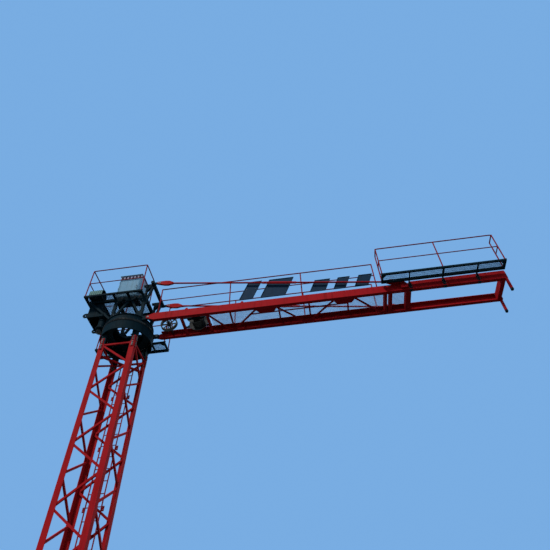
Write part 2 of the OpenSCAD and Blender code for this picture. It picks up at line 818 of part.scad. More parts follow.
// Flat zigzag between the beams, with long gussets on its near nodes and a bar along them
module beam_bracing() color(paint_red) {
  translate([0, 0, cross_low]) linear_extrude(brace_t) intersection() {
    union() {
      strip([winch_end - brace_w, -clear_y], [brace_start, clear_y], brace_w);
      for (k = [0:brace_bays - 1]) brace_bay(brace_start + k * brace_pitch);
      for (k = [0:brace_bays]) far_gusset(brace_start + k * brace_pitch);
      strip([brace_start + 0.27 * brace_pitch, stringer_y],
        [brace_end - 0.45 * brace_pitch, stringer_y], brace_w * 2 / 3);
    }
    translate([winch_end, -clear_y]) square([side_x + 50 - winch_end, 2 * clear_y]);
  }
}

module brace_bay(from_x) {
  middle = from_x + brace_pitch / 2;
  reach = node_gap + gusset_d * 0.7;
  strip([from_x, clear_y], [middle - node_gap, -clear_y], brace_w);
  strip([middle + node_gap, -clear_y], [from_x + brace_pitch, clear_y], brace_w);
  polygon([
    [middle - reach, -clear_y], [middle + reach, -clear_y],
    [middle + node_gap, gusset_d - clear_y], [middle - node_gap, gusset_d - clear_y]
  ]);
}

module far_gusset(x) {
  polygon([
    [x - gusset_d * 0.6, clear_y], [x - gusset_d * 0.25, clear_y - gusset_d / 2],
    [x + gusset_d * 0.25, clear_y - gusset_d / 2], [x + gusset_d * 0.6, clear_y]
  ]);
}

module cross_member(x, w, h) {
  translate([x, -clear_y, cross_low]) cube([w, 2 * clear_y, h]);
}

module cross_members() color(paint_red) {
  for (x = [winch_x0, winch_x1]) cross_member(x, 60, winch_seat - cross_low);
  for (x = [side_x + 50, side_x + 190]) cross_member(x, 70, cross_h);
  cross_member(bay_inner_x - 140, 140, cross_h);
  cross_member(beam_end_x - 140, 110, cross_h);
  for (x = tie_places)
    translate([x, -clear_y, beam_top - beam_t - tie_w]) cube([tie_w, 2 * clear_y, tie_w]);
}

module tail_posts() color(paint_red) {
  tail_y = beam_y / 2 + beam_t / 2 - tail_w / 2;
  for (side = [-1, 1])
    translate([beam_end_x - tail_w, side * tail_y - tail_w / 2, beam_foot - tail_drop])
      cube([tail_w, tail_w, tail_drop]);
}

module gratings() color(mesh_grey) {
  half = (flange_y - rail_d) / 2 - clear;
  grating(winch_end + 10, -half, bay_inner_x - 10, half, beam_top);
  grating_in(deck_x0, deck_y0, deck_x1, deck_y1, upper_floor);
  grating_in(rear_x0, rear_y0, rear_x1, rear_y1, frame_z + edge_h);
  grating_in(side_x, -side_edge_y, beam_end_x, side_y0, deck_level);
}

rail_end_x = side_x - 120;
rail_posts = [for (k = [3:-1:0]) rail_end_x - k * post_pitch];
beam_mid_h = 520;
beam_rail_y = flange_y / 2;

module beam_railing(side) {
  y = side * beam_rail_y;
  railing([for (x = rail_posts) [x, y]], beam_top, [0, 1, 2, 3], beam_rail_h, beam_mid_h);
}

module railing_near() color(paint_red) beam_railing(-1);
module railing_far() color(paint_red) beam_railing(1);

module cross_pin(x, y, z, d, len) {
  translate([x, y + len / 2, z]) rotate([90, 0, 0]) cylinder(h = len, d = d);
}

pin_proud = 8;
pendant_pin_len = lug_t + 2 * fork_t + 2 * pin_proud;

module joint_pins() color("silver") {
  for (side = [-1, 1]) {
    cross_pin(foot_pin_x, side * (foot_ear_y + beam_t / 2), beam_z, foot_pin_d,
      foot_ear_t + beam_t + 3 * pin_proud);
    cross_pin(pin_x, side * pendant_y / 2, head_z, pendant_pin_d, pendant_pin_len);
    cross_pin(anchor_x, side * pendant_y / 2, anchor_z, pendant_pin_d, pendant_pin_len);
  }
}

module pendants() color(paint_red) {
  for (side = [-1, 1]) pendant(side);
}

// One tie of two forked ends, a round bar and a flat splice
module pendant(side) {
  run = anchor_x - pin_x;
  drop = head_z - anchor_z;
  length = norm([run, drop]);
  translate([pin_x, side * pendant_y / 2, head_z]) rotate([0, atan2(drop, run), 0]) {
    fork();
    translate([length, 0, 0]) rotate(180) fork();
    translate([fork_len - 60, 0, 0]) rotate([0, 90, 0])
      cylinder(h = length - 2 * fork_len + 120, d = pendant_d);
    translate([splice_at, -lug_t / 2, -pendant_d * 0.75])
      cube([splice_len, lug_t, pendant_d * 1.5]);
  }
}

// Two eye plates that run together into a solid neck
module fork() {
  inner = lug_t / 2 + 0.5;
  eye = 90;
  difference() {
    translate([0, inner + fork_t, 0]) rotate([90, 0, 0])
      linear_extrude(2 * (inner + fork_t)) union() {
        circle(d = eye);
        polygon([
          [0, eye / 2], [fork_len * 0.45, fork_h / 2], [fork_len * 0.7, fork_h / 2],
          [fork_len, pendant_d / 2], [fork_len, -pendant_d / 2], [fork_len * 0.7, -fork_h / 2],
          [fork_len * 0.45, -fork_h / 2], [0, -eye / 2]
        ]);
      }
    translate([-eye, -inner, -fork_h]) cube([eye + 120, 2 * inner, 2 * fork_h]);
    cross_pin(0, 0, 0, pendant_pin_d + 2 * pin_gap, 4 * lug_t);
  }
}

// Bare slanted plates on the outside of the near railing: [post before it, foot from that post,
// width at the foot, height]
module name_plates() color("teal") {
  low = beam_top + 120;
  for (spot = [
    [1, 0.13, 0.19, plate_rise], [1, 0.425, 0.345, plate_rise],
    [2, 0.105, 0.215, low_plate_rise], [2, 0.425, 0.165, low_plate_rise],
    [2, 0.71, 0.185, low_plate_rise]
  ]) {
    from_x = rail_posts[spot[0]] + spot[1] * post_pitch;
    to_x = from_x + spot[2] * post_pitch;
    slant = plate_slant * spot[3] / 1000;
    translate([0, -beam_rail_y - rail_d / 2, low]) rotate([90, 0, 0])
      linear_extrude(sign_t) polygon([
        [from_x, 0], [to_x, 0], [to_x + slant, spot[3]], [from_x + slant, spot[3]]
      ]);
  }
}

side_y0 = -beam_y / 2 - beam_t / 2 - side_gap;
side_bearers = [for (part = [0.227, 0.501, 0.776]) side_x + part * (beam_end_x - side_x)];

module side_platform() color(paint_dark) {
  face = -beam_y / 2 - beam_t / 2;
  low = deck_level - edge_h;
  frame_of(side_x, -side_edge_y, beam_end_x, side_y0, low);
  for (x = side_bearers) {
    translate([x, -side_edge_y, low]) cube([bearer_w, side_edge_y + face, edge_h]);
    translate([x, face - 20, beam_foot + 40]) cube([bearer_w, 20, low - beam_foot]);
    translate([x + bearer_w / 2 - 8, 0, 0]) rotate([90, 0, 90]) linear_extrude(16)
      polygon([[face, beam_foot + 60], [face, low + 1], [side_y0, low + 1]]);
  }
}

module side_railing() color(paint_red) {
  in = edge_w / 2;
  railing([
    [side_x + in, side_y0 - in], [side_x + in, -side_edge_y + in],
    [(side_x + beam_end_x) / 2, -side_edge_y + in],
    [beam_end_x - in, -side_edge_y + in], [beam_end_x - in, side_y0 - in]
  ], deck_level, [0, 1, 2, 3, 4]);
}

// Two bearing plates on the cross members
module winch_frame() color(paint_dark) {
  for (side = [-1, 1]) {
    y = side * (winch_w / 2 + winch_t / 2);
    difference() {
      union() {
        translate([winch_x0, y - winch_t / 2, winch_seat]) cube([winch_end - winch_x0, winch_t, 60]);
        translate([0, y + winch_t / 2, 0]) rotate([90, 0, 0]) linear_extrude(winch_t) polygon([
          [winch_x0, winch_seat], [winch_x1, winch_seat], [drum_x + 140, winch_z + 120],
          [drum_x - 140, winch_z + 120]
        ]);
      }
      cross_pin(drum_x, y, winch_z, shaft_d + 0.2, 2 * winch_t);
    }
  }
}

shaft_proud = 15;
motor_y = -winch_w / 2 - winch_t - motor_len / 2;
motor_z = winch_z - shaft_d / 2 - 2 * clear - motor_r;

// The motor on the outside of the near bearing plate, within the near beam's channel
module winch_motor() color(paint_dark) {
  cross_pin(drum_x, motor_y, motor_z, 2 * motor_r, motor_len);
}

module hoist_drum() color("dimgray") {
  cross_pin(drum_x, 0, winch_z, 2 * hoist_barrel_r, hoist_len + 2);
  for (side = [-1, 1])
    cross_pin(drum_x, side * (hoist_len + hoist_flange_t) / 2, winch_z, 2 * hoist_flange_r,
      hoist_flange_t);
  cross_pin(drum_x, 0, winch_z, shaft_d, winch_w + 2 * winch_t + 2 * shaft_proud);
}

reel_z = beam_foot + reel_r - 65;

module cable_reel() color("dimgray") {
  difference() {
    cross_pin(reel_x, 0, reel_z, 2 * reel_r, reel_w);
    cross_pin(reel_x, 0, reel_z, 2 * reel_r - 60, reel_w + 2);
  }
  for (k = [0:reel_spokes - 1])
    translate([reel_x, 0, reel_z]) rotate([0, k * 360 / reel_spokes, 0])
      translate([0, -15, -10]) cube([reel_r - 20, 30, 20]);
  cross_pin(reel_x, 0, reel_z, 110, reel_w);
  cross_pin(reel_x, 0, reel_z, 50, 2 * clear_y);
}

base_frame();
mast_legs_lower();
mast_legs_middle();
mast_legs_upper();
lacing_near();
lacing_far();
lacing_jib_side();
lacing_counter_side();
fishplates();
cross_bars();
ladder();
slewing_support();
slewing_ring();
turret_drum();
turret_side_near();
turret_side_far();
turret_cross_tubes();
jib_root();
pendant_head();
slewing_drive();
slewing_pinion();
deck_frame();
deck_railing();
control_cabinet();
cabinet_vent();
resistor_cover();
rear_platform();
rear_railing();
beam_near();
beam_far();
beam_bracing();
cross_members();
tail_posts();
gratings();
railing_near();
railing_far();
pendants();
joint_pins();
name_plates();
side_platform();
side_railing();
winch_frame();
winch_motor();
hoist_drum();
cable_reel();
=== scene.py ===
"""Dresses a flat-top tower crane: paint and wear on its frame, and the bolts, gussets, gratings,
rails and machine details that stand on it, with a camera, light and floor around it."""

import json
import math

import bpy
from bpy.props import FloatProperty, FloatVectorProperty, IntProperty, PointerProperty
from mathutils import Matrix, Vector


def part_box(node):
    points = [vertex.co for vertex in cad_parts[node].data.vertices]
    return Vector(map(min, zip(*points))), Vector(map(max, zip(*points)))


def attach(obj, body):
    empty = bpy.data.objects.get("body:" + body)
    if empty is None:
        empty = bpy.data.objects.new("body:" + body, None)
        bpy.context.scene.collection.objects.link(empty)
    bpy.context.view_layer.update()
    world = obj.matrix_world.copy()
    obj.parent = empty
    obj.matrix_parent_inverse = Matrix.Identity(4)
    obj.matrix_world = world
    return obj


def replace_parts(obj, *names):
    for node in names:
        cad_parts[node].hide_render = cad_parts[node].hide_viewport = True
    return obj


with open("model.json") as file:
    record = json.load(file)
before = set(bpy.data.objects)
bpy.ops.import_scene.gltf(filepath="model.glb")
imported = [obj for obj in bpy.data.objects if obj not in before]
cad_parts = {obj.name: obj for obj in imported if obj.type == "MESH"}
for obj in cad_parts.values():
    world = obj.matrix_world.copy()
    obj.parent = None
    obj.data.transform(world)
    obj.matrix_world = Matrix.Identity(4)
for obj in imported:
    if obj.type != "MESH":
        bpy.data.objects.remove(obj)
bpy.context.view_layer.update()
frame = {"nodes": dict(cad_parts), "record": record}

bl_info = {
    "name": "Tower crane dressing",
    "version": (1, 0, 0),
    "blender": (4, 5, 0),
    "location": "3D View > Sidebar > Crane",
    "description": "Paint, fittings and stage for a flat-top tower crane",
    "category": "Object",
}

NODES = frame["nodes"]
SLOT_OF_NODE = {row["node"]: row["material_slot"] for row in frame["record"]["subparts"]}


def low(node):
    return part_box(node)[0]


def high(node):
    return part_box(node)[1]


# Directions: along the counter-jib, across it, and up and down
ALONG, ACROSS = Vector((1, 0, 0)), Vector((0, 1, 0))
UP, DOWN = Vector((0, 0, 1)), Vector((0, 0, -1))
SIDES = (-1, 1)

# Mast, in metres
BASE_TOP = low("mast_legs_lower").z
SECTION_JOINTS = [high("mast_legs_" + part).z for part in ("lower", "middle", "upper")]
MAST_TOP = SECTION_JOINTS[-1]
MAST_HALF = high("mast_legs_lower").x
LEG_WIDTH, LEG_WALL = 0.14, 0.014
LEG_INNER = MAST_HALF - LEG_WALL
ANCHOR_PITCH = 0.32
BAY = 1.465

# Slewing unit and turret
RING_FOOT = low("slewing_ring").z
DRUM_LIP = RING_FOOT - 0.025
TURRET_FRAME = low("turret_side_near").z
TURRET_TOP = low("deck_frame").z
DECK_FLOOR = high("deck_frame").z
REAR_FLOOR = high("rear_platform").z

# Counter-jib
SIDE_FLOOR = high("side_platform").z
BEAM_FOOT = low("cross_members").z - 0.014
BEAM_TOP = SIDE_FLOOR - 0.05
BEAM_TALL = BEAM_TOP - BEAM_FOOT
BEAM_FACE = high("tail_posts").y
BEAM_END = high("tail_posts").x
FLANGE_T = 0.017
WEB_INNER = high("cross_members").y
PENDANT_LINE = 0.495
FORK_HALF = 0.029
HEAD_PIN = high("joint_pins").z - 0.02
PENDANT_PINS = ((0.82, HEAD_PIN, 1), (7.96, BEAM_TOP + 0.02, -1))
WALKWAY = (2.432, 8.138)
RAIL_R = 0.017
RAIL_LINE = high("railing_far").y - RAIL_R
FIRST_POST, LAST_POST = low("railing_far").x + RAIL_R, high("railing_far").x - RAIL_R
BEAM_POSTS = [FIRST_POST + (LAST_POST - FIRST_POST) * k / 3 for k in range(4)]


def footprint(node):
    foot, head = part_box(node)
    return [foot.x, foot.y, head.x, head.y]


def shrunk(area, rim):
    return area[0] + rim, area[1] + rim, area[2] - rim, area[3] - rim


# Floors with a railing, two of them only as far as their inner edge
DECK, REAR, SIDE = footprint("deck_frame"), footprint("rear_platform"), footprint("side_platform")
REAR[1], SIDE[3] = 0.75, -BEAM_FACE - 0.085


# Modelling by hand: places, primitives, edit-mode steps and copies

def at(x, y, z):
    return Matrix.Translation((x, y, z))


def turned(degrees, axis):
    return Matrix.Rotation(math.radians(degrees), 4, axis)


def facing_side(side):
    """Turns what is made for the near side to the side asked for."""
    return turned(90 + 90 * side, "Z")


def spot(point, facing=UP):
    """The place of a fitting that stands on a surface."""
    return Matrix.Translation(point) @ UP.rotation_difference(facing).to_matrix().to_4x4()


def on_plane(origin, across, along):
    """The plane of a plate: its own X and Y in the crane's frame."""
    turn = Matrix((across, along, across.cross(along))).transposed().to_4x4()
    return Matrix.Translation(origin) @ turn


def around(count, radius, centre, facing=UP):
    """Places evenly round an upright axis."""
    angles = [math.tau * number / count for number in range(count)]
    return [spot((centre[0] + radius * math.cos(angle), centre[1] + radius * math.sin(angle), centre[2]),
                 facing) for angle in angles]


def quarter_turns(places):
    """Each place and its three copies round the mast."""
    return [turned(turn, "Z") @ place for place in places for turn in (0, 90, 180, 270)]


def pick(*pieces):
    """Selects only these pieces and makes the first one active."""
    bpy.ops.object.select_all(action="DESELECT")
    for piece in pieces:
        piece.select_set(True)
    if pieces:
        bpy.context.view_layer.objects.active = pieces[0]


def placed():
    """The new primitive, with its place and size in its mesh."""
    bpy.ops.object.transform_apply(location=True, rotation=True, scale=True)
    return bpy.context.object


def start_round(radius, depth, centre=(0, 0, 0), axis=UP, sides=24):
    pick()
    bpy.ops.mesh.primitive_cylinder_add(
        vertices=sides, radius=radius, depth=depth, location=centre,
        rotation=UP.rotation_difference(axis).to_euler())
    return placed()


def every(face):
    return True


def edit(piece, wanted, step, **settings):
    """Runs one edit-mode step on the faces that pass a test."""
    pick(piece)
    bpy.context.tool_settings.mesh_select_mode = (False, False, True)
    for part in [*piece.data.vertices, *piece.data.edges]:
        part.select = False
    for face in piece.data.polygons:
        face.select = wanted(face)
    bpy.ops.object.mode_set(mode="EDIT")
    step(**settings)
    bpy.ops.object.mode_set(mode="OBJECT")
    return piece


def inset(piece, toward, thickness, depth=0.0):
    """Insets the faces that look one way, and raises or sinks them by the depth."""
    return edit(piece, lambda face: face.normal.dot(toward) > 0.9, bpy.ops.mesh.inset,
                thickness=thickness, depth=depth)


def outward(piece):
    return edit(piece, every, bpy.ops.mesh.normals_make_consistent, inside=False)


def break_edges(piece, width, segments=1):
    """Bevels the sharp edges."""
    pick(piece)
    bevel = piece.modifiers.new("Edges", "BEVEL")
    bevel.width = width
    bevel.segments = segments
    bevel.limit_method = "ANGLE"
    bevel.angle_limit = math.radians(40)
    bpy.ops.object.modifier_apply(modifier=bevel.name)
    return piece


def smooth(piece):
    pick(piece)
    bpy.ops.object.shade_smooth_by_angle(angle=math.radians(35))
    return piece


def block(size, centre=(0, 0, 0), edge=0.002, segments=1):
    """A block with its edges broken."""
    pick()
    bpy.ops.mesh.primitive_cube_add(size=1, location=centre, scale=size)
    return break_edges(placed(), edge, segments)


def disc(radius, depth, centre=(0, 0, 0), axis=UP, sides=24, edge=0.002):
    """A round plate with both rims chamfered."""
    piece, middle = start_round(radius, depth, centre, axis, sides), Vector(centre)
    for facing in (axis, -axis):
        inset(piece, facing, edge)
    for vertex in piece.data.vertices:
        height = (vertex.co - middle).dot(axis)
        out = (vertex.co - middle) - axis * height
        if out.length > radius - edge / 2:
            vertex.co = middle + out + axis * math.copysign(abs(height) - edge, height)
    return piece


def plate(outline, thick, place=Matrix(), edge=0.001):
    """A flat plate with the given outline in its own plane, extruded along its normal."""
    pick()
    bpy.ops.mesh.primitive_circle_add(vertices=len(outline), radius=1, fill_type="NGON")
    piece = bpy.context.object
    area = sum(a[0] * b[1] - b[0] * a[1] for a, b in zip(outline, outline[1:] + outline[:1]))
    for vertex, point in zip(piece.data.vertices, outline if area > 0 else outline[::-1]):
        vertex.co = (*point, 0)
    piece.data.update()
    edit(piece, every, bpy.ops.mesh.extrude_region_move, TRANSFORM_OT_translate={"value": (0, 0, thick)})
    break_edges(outward(piece), edge)
    piece.data.transform(place)
    return piece


def lathe(profile, place=Matrix(), steps=32):
    """A closed outline of (radius, height) points spun once round the local Z axis."""
    pick()
    bpy.ops.mesh.primitive_circle_add(vertices=len(profile), radius=1, fill_type="NOTHING")
    piece = bpy.context.object
    for vertex, (radius, height) in zip(piece.data.vertices, profile):
        vertex.co = (radius, 0, height)
    bpy.context.tool_settings.mesh_select_mode = (True, False, False)
    bpy.ops.object.mode_set(mode="EDIT")
    bpy.ops.mesh.select_all(action="SELECT")
    bpy.ops.mesh.spin(steps=steps, angle=math.tau, center=(0, 0, 0), axis=UP)
    bpy.ops.mesh.select_all(action="SELECT")
    bpy.ops.mesh.remove_doubles(threshold=0.00005)
    bpy.ops.mesh.normals_make_consistent(inside=False)
    bpy.ops.object.mode_set(mode="OBJECT")
    piece.data.transform(place)
    return piece


def tube(points, radius, bend=0.05, sides=12):
    """A bent round tube along the points, with closed ends."""
    points = [Vector(point) for point in points]
    path = points[:1]
    for before, corner, after in zip(points, points[1:], points[2:]):
        arm_in, arm_out = (before - corner).normalized(), (after - corner).normalized()
        for part in (0, 0.25, 0.5, 0.75, 1):
            start, end = corner + arm_in * bend * (1 - part), corner + arm_out * bend * part
            path.append(start.lerp(end, part))
    path.append(points[-1])
    pick()
    bpy.ops.mesh.primitive_circle_add(
        vertices=sides, radius=radius, fill_type="NGON", location=path[0],
        rotation=UP.rotation_difference(path[1] - path[0]).to_euler())
    piece = placed()
    way = (path[1] - path[0]).normalized()
    for here, there in zip(path, path[1:]):
        ahead = (there - here).normalized()
        turn = way.rotation_difference(ahead).to_matrix().to_4x4()
        turn = Matrix.Translation(here) @ turn @ Matrix.Translation(-here)
        for vertex in list(piece.data.vertices)[-sides:]:
            vertex.co = turn @ vertex.co
        last = len(piece.data.vertices) - sides
        edit(piece, lambda face: len(face.vertices) == sides and min(face.vertices) >= last,
             bpy.ops.mesh.extrude_region_move, TRANSFORM_OT_translate={"value": there - here})
        way = ahead
    return outward(piece)


def join(pieces):
    pick(*pieces)
    if len(pieces) > 1:
        bpy.ops.object.join()
    return pieces[0]


def copies(piece, places):
    """Copies of the piece at each place, in one mesh. The first one is used up."""
    twins = []
    for place in places:
        twin = piece.copy()
        twin.data = piece.data.copy()
        twin.data.transform(place)
        bpy.context.collection.objects.link(twin)
        twins.append(twin)
    bpy.data.objects.remove(piece)
    return join(twins)


def settle(piece, name, slot, body="upper", finish=None):
    """Names a finished piece, paints it and lets it move with its body."""
    piece.name = name
    piece.data.name = name
    piece.data.materials.clear()
    piece.data.materials.append(finish_of(finish or slot))
    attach(piece, body)
    return piece


def hex_bolt(size):
    """A hexagon head on its washer, looking up from the origin, for a thread of this size."""
    washer_t, head_h = size * 0.2, size * 0.62
    washer = start_round(size * 1.05, washer_t, (0, 0, washer_t / 2), sides=12)
    inset(washer, UP, size * 0.08, size * 0.04)
    head = start_round(size * 0.88, head_h, (0, 0, washer_t + head_h / 2), sides=6)
    inset(head, UP, size * 0.14, size * 0.08)
    return join([washer, head])


def stud_bolt(size, proud):
    """A nut on its washer with the bolt's end standing proud."""
    bolt = hex_bolt(size)
    end = start_round(size * 0.5, proud, (0, 0, size * 0.82 + proud / 2), sides=10)
    return join([bolt, inset(end, UP, size * 0.08, size * 0.06)])


def fasten(name, bolt, places, body="upper"):
    return settle(copies(bolt, places), name, "pin_steel", body)


def collar(bore, rim, tall, edge, steps):
    """A flat ring with a chamfered outer edge."""
    return lathe([(bore, 0), (rim, 0), (rim, tall - edge), (rim - edge, tall), (bore, tall)], steps=steps)


def fin(inner, outer, place=Matrix(), steps=32):
    """One round cooling fin with a crowned edge."""
    thick, crown = 0.004, 0.002
    return lathe([(inner, 0), (outer - crown, 0), (outer, thick / 2), (outer - crown, thick), (inner, thick)],
                 place, steps)


def terminal_box(size, centre, facing, edge):
    """A cast box with a raised lid on the side that faces out."""
    return inset(block(size, centre, edge, 2), facing, 0.012, 0.006)


def gussets(seats, walls, thick):
    """Plates that stand on walls in the plane of X and Z, and the places of their bolts. A seat is an
    outline, its holes, the corner they start from and the ways they run; a wall is a place and a side."""
    plates, bolts = [], []
    for wall, side in walls:
        stand = at(0, wall + max(side * thick, 0), 0) @ turned(90, "X")
        for outline, holes, (x, z), (flip_x, flip_z) in seats:
            plates.append(plate([(x + flip_x * a, z + flip_z * b) for a, b in outline], thick, stand))
            bolts += [spot((x + flip_x * a, wall + side * thick, z + flip_z * b), ACROSS * side)
                      for a, b in holes]
    return join(plates), bolts


# Finishes: one node tree for each paint or metal, on object coordinates

FINISHES = {}


def wire(tree, kind, settings=None, **values):
    """A node with its inputs set or linked, by name or by number after "at"."""
    node = tree.nodes.new(kind)
    for key, value in (settings or {}).items():
        setattr(node, key, value)
    for key, value in values.items():
        socket = node.inputs[int(key[2:]) if key.startswith("at") else key]
        if isinstance(value, bpy.types.NodeSocket):
            tree.links.new(value, socket)
        else:
            socket.default_value = (*value, 1.0) if socket.type == "RGBA" else value
    return node


def noise(tree, coordinates, scale, detail=4.0, roughness=0.55):
    return wire(tree, "ShaderNodeTexNoise", Vector=coordinates, Scale=scale, Detail=detail,
                Roughness=roughness).outputs["Fac"]


def ramp(tree, value, start, end):
    """The value brought to 0 at start and 1 at end."""
    return wire(tree, "ShaderNodeMapRange", at0=value, at1=start, at2=end).outputs[0]


def math_node(tree, operation, first, second):
    return wire(tree, "ShaderNodeMath", {"operation": operation}, at0=first, at1=second).outputs[0]


def times(tree, first, second):
    return math_node(tree, "MULTIPLY", first, second)


def blend_colour(tree, factor, first, second):
    return wire(tree, "ShaderNodeMix", {"data_type": "RGBA"}, at0=factor, at6=first, at7=second).outputs[2]


def stretched(tree, coordinates, scale):
    return wire(tree, "ShaderNodeMapping", Vector=coordinates, Scale=scale).outputs[0]


def start_finish(name):
    finish = bpy.data.materials.new(name)
    finish.use_nodes = True
    tree = finish.node_tree
    coordinates = tree.nodes.new("ShaderNodeTexCoord").outputs["Object"]
    return finish, tree, tree.nodes["Principled BSDF"], coordinates


def end_finish(tree, shader, colour, roughness, relief, strength, height, level):
    """Joins colour, roughness and fine relief to the shader and sets its plain gloss."""
    bump = wire(tree, "ShaderNodeBump", Strength=strength, Distance=height, Height=relief)
    for socket, value in (("Base Color", colour), ("Roughness", roughness), ("Normal", bump.outputs[0])):
        tree.links.new(value, shader.inputs[socket])
    shader.inputs["Specular IOR Level"].default_value = level


def painted(name, colour, faded, under, grime, wear, gloss=0.55, streaks=0.5, level=0.08):
    """Brushed-on machine paint: fading, runs of dirt, chips down to primer and a fine orange peel."""
    finish, tree, shader, coordinates = start_finish(name)
    broad = ramp(tree, noise(tree, coordinates, 0.9, 6.0), 0.35, 0.7)
    cloudy = ramp(tree, noise(tree, coordinates, 7.0, 6.0, 0.65), 0.3, 0.75)
    paint = blend_colour(tree, times(tree, broad, 0.75), colour, faded)
    paint = blend_colour(tree, times(tree, cloudy, 0.3), paint, faded)
    runs = stretched(tree, coordinates, (9.0, 9.0, 0.9))
    dirt = ramp(tree, noise(tree, runs, 1.6, 5.0, 0.6), 0.5, 0.72)
    paint = blend_colour(tree, times(tree, dirt, streaks), paint, grime)
    region = ramp(tree, noise(tree, coordinates, 2.7, 3.0), 0.48, 0.66)
    edge = 0.72 - 0.1 * wear
    chips = times(tree, ramp(tree, noise(tree, coordinates, 38.0, 6.0, 0.7), edge, edge + 0.03), region)
    rough = math_node(tree, "ADD", times(tree, cloudy, 0.18), gloss)
    rough = math_node(tree, "ADD", rough, times(tree, chips, 0.35))
    peel = noise(tree, coordinates, 160.0, 2.0)
    relief = math_node(tree, "SUBTRACT", times(tree, peel, 0.3), chips)
    end_finish(tree, shader, blend_colour(tree, chips, paint, under), rough, relief, 0.25, 0.001, level)
    return finish


def bare_metal(name, colour, stain, metallic, rough=0.55, oil=0.0, level=0.15):
    """Worn or zinc-coated steel with spangle, stains and fine scratches."""
    finish, tree, shader, coordinates = start_finish(name)
    spangle = wire(tree, "ShaderNodeTexVoronoi", Vector=coordinates, Scale=55.0).outputs["Color"]
    grey = wire(tree, "ShaderNodeSeparateColor", at0=spangle).outputs[0]
    tone = blend_colour(tree, times(tree, grey, 0.35), colour, [part * 1.5 for part in colour])
    marks = ramp(tree, noise(tree, coordinates, 3.5, 7.0, 0.7), 0.46, 0.68)
    tone = blend_colour(tree, times(tree, marks, 0.8), tone, stain)
    scratches = noise(tree, stretched(tree, coordinates, (140.0, 140.0, 9.0)), 1.0, 3.0, 0.7)
    shine = math_node(tree, "ADD", times(tree, marks, 0.3 - oil), rough)
    metal = math_node(tree, "SUBTRACT", metallic, times(tree, marks, metallic * 0.7))
    tree.links.new(metal, shader.inputs["Metallic"])
    end_finish(tree, shader, tone, shine, scratches, 0.15, 0.0006, level)
    return finish


def red_paint(look):
    return painted("red machine paint", look.red, [0.34, 0.011, 0.017], [0.1, 0.03, 0.02],
                   [0.12, 0.004, 0.004], look.wear, gloss=0.6, level=0.03)


# Painted shade: the rails' finish is the machine red darkened to 0.65, a shaded copy of the same paint rather
# than a paint of its own
def shaded_rail_paint(look):
    return painted("red rail paint darkened as painted shade", [0.65 * part for part in look.red], [0.22, 0.012, 0.02],
                   [0.08, 0.03, 0.025], [0.07, 0.003, 0.006], look.wear, gloss=0.6, level=0.05)


def dark_paint(look):
    return painted("dark green machine paint", look.dark, [0.004, 0.016, 0.024], [0.02, 0.014, 0.012],
                   [0.001, 0.003, 0.004], look.wear, gloss=0.62, streaks=0.6, level=0.03)


def cabinet_paint(look):
    return painted("grey-blue cabinet paint", look.cabinet, [0.16, 0.32, 0.46], [0.12, 0.13, 0.13],
                   [0.07, 0.13, 0.15], look.wear * 0.5, streaks=0.35)


def vent_metal(look):
    return painted("pale louvre paint", [0.21, 0.23, 0.36], [0.3, 0.31, 0.4], [0.18, 0.16, 0.15],
                   [0.07, 0.07, 0.09], look.wear * 0.6, streaks=0.6)


def cover_paint(look):
    return painted("greenish-grey cover paint", [0.09, 0.2, 0.2], [0.12, 0.25, 0.24], [0.12, 0.09, 0.07],
                   [0.05, 0.08, 0.075], look.wear, streaks=0.55)


def plate_paint(look):
    return painted("dark teal sheet paint", [0.006, 0.026, 0.06], [0.01, 0.034, 0.07], [0.04, 0.05, 0.06],
                   [0.005, 0.014, 0.02], look.wear * 0.5, streaks=0.3, level=0.04)


def gear_steel(look):
    return bare_metal("greased gear steel", [0.014, 0.019, 0.021], [0.006, 0.007, 0.007], 0.2,
                      oil=0.15, level=0.1)


def pin_steel(look):
    return bare_metal("zinc-coated pins", [0.1, 0.1, 0.11], [0.05, 0.03, 0.02], 0.25)


def grating(look):
    return bare_metal("galvanised grating", [0.24, 0.24, 0.3], [0.14, 0.13, 0.15], 0.3, rough=0.5)


MAKERS = {maker.__name__: maker for maker in (
    red_paint, shaded_rail_paint, dark_paint, cabinet_paint, vent_metal, cover_paint, plate_paint, gear_steel,
    pin_steel, grating)}


def finish_of(slot):
    """The finish of a material slot, made when it is first asked for."""
    if slot not in FINISHES:
        FINISHES[slot] = MAKERS[slot](bpy.context.scene.crane_paint)
    return FINISHES[slot]


# What a user may change

class CRANE_PG_paint(bpy.types.PropertyGroup):
    red: FloatVectorProperty(
        name="Red", description="Colour of the mast, the beams and the rails",
        subtype="COLOR", size=3, min=0, max=1, default=(0.3, 0.007, 0.011))
    dark: FloatVectorProperty(
        name="Dark green", description="Colour of the turret and the platform frames",
        subtype="COLOR", size=3, min=0, max=1, default=(0.001, 0.011, 0.018))
    cabinet: FloatVectorProperty(
        name="Cabinet", description="Colour of the control cabinet",
        subtype="COLOR", size=3, min=0, max=1, default=(0.12, 0.28, 0.44))
    wear: FloatProperty(
        name="Wear", description="How much of the paint is chipped",
        subtype="FACTOR", min=0, max=1, default=0.6)


class CRANE_PG_fittings(bpy.types.PropertyGroup):
    mast_bolt: FloatProperty(
        name="Mast bolt", description="Thread diameter of the bolts at a section joint",
        unit="LENGTH", min=0.012, max=0.04, default=0.024)
    small_bolt: FloatProperty(
        name="Small bolt", description="Thread diameter of the bolts on brackets and feet",
        unit="LENGTH", min=0.006, max=0.02, default=0.012)
    mesh_pitch: FloatProperty(
        name="Grating pitch", description="Distance from one bearing bar to the next",
        unit="LENGTH", min=0.02, max=0.1, default=0.03)
    mesh_bar: FloatProperty(
        name="Grating bar", description="Thickness of a bearing bar",
        unit="LENGTH", min=0.002, max=0.008, default=0.004)
    ring_bolts: IntProperty(
        name="Ring bolts", description="Bolts round the slewing ring",
        min=12, max=60, default=36)


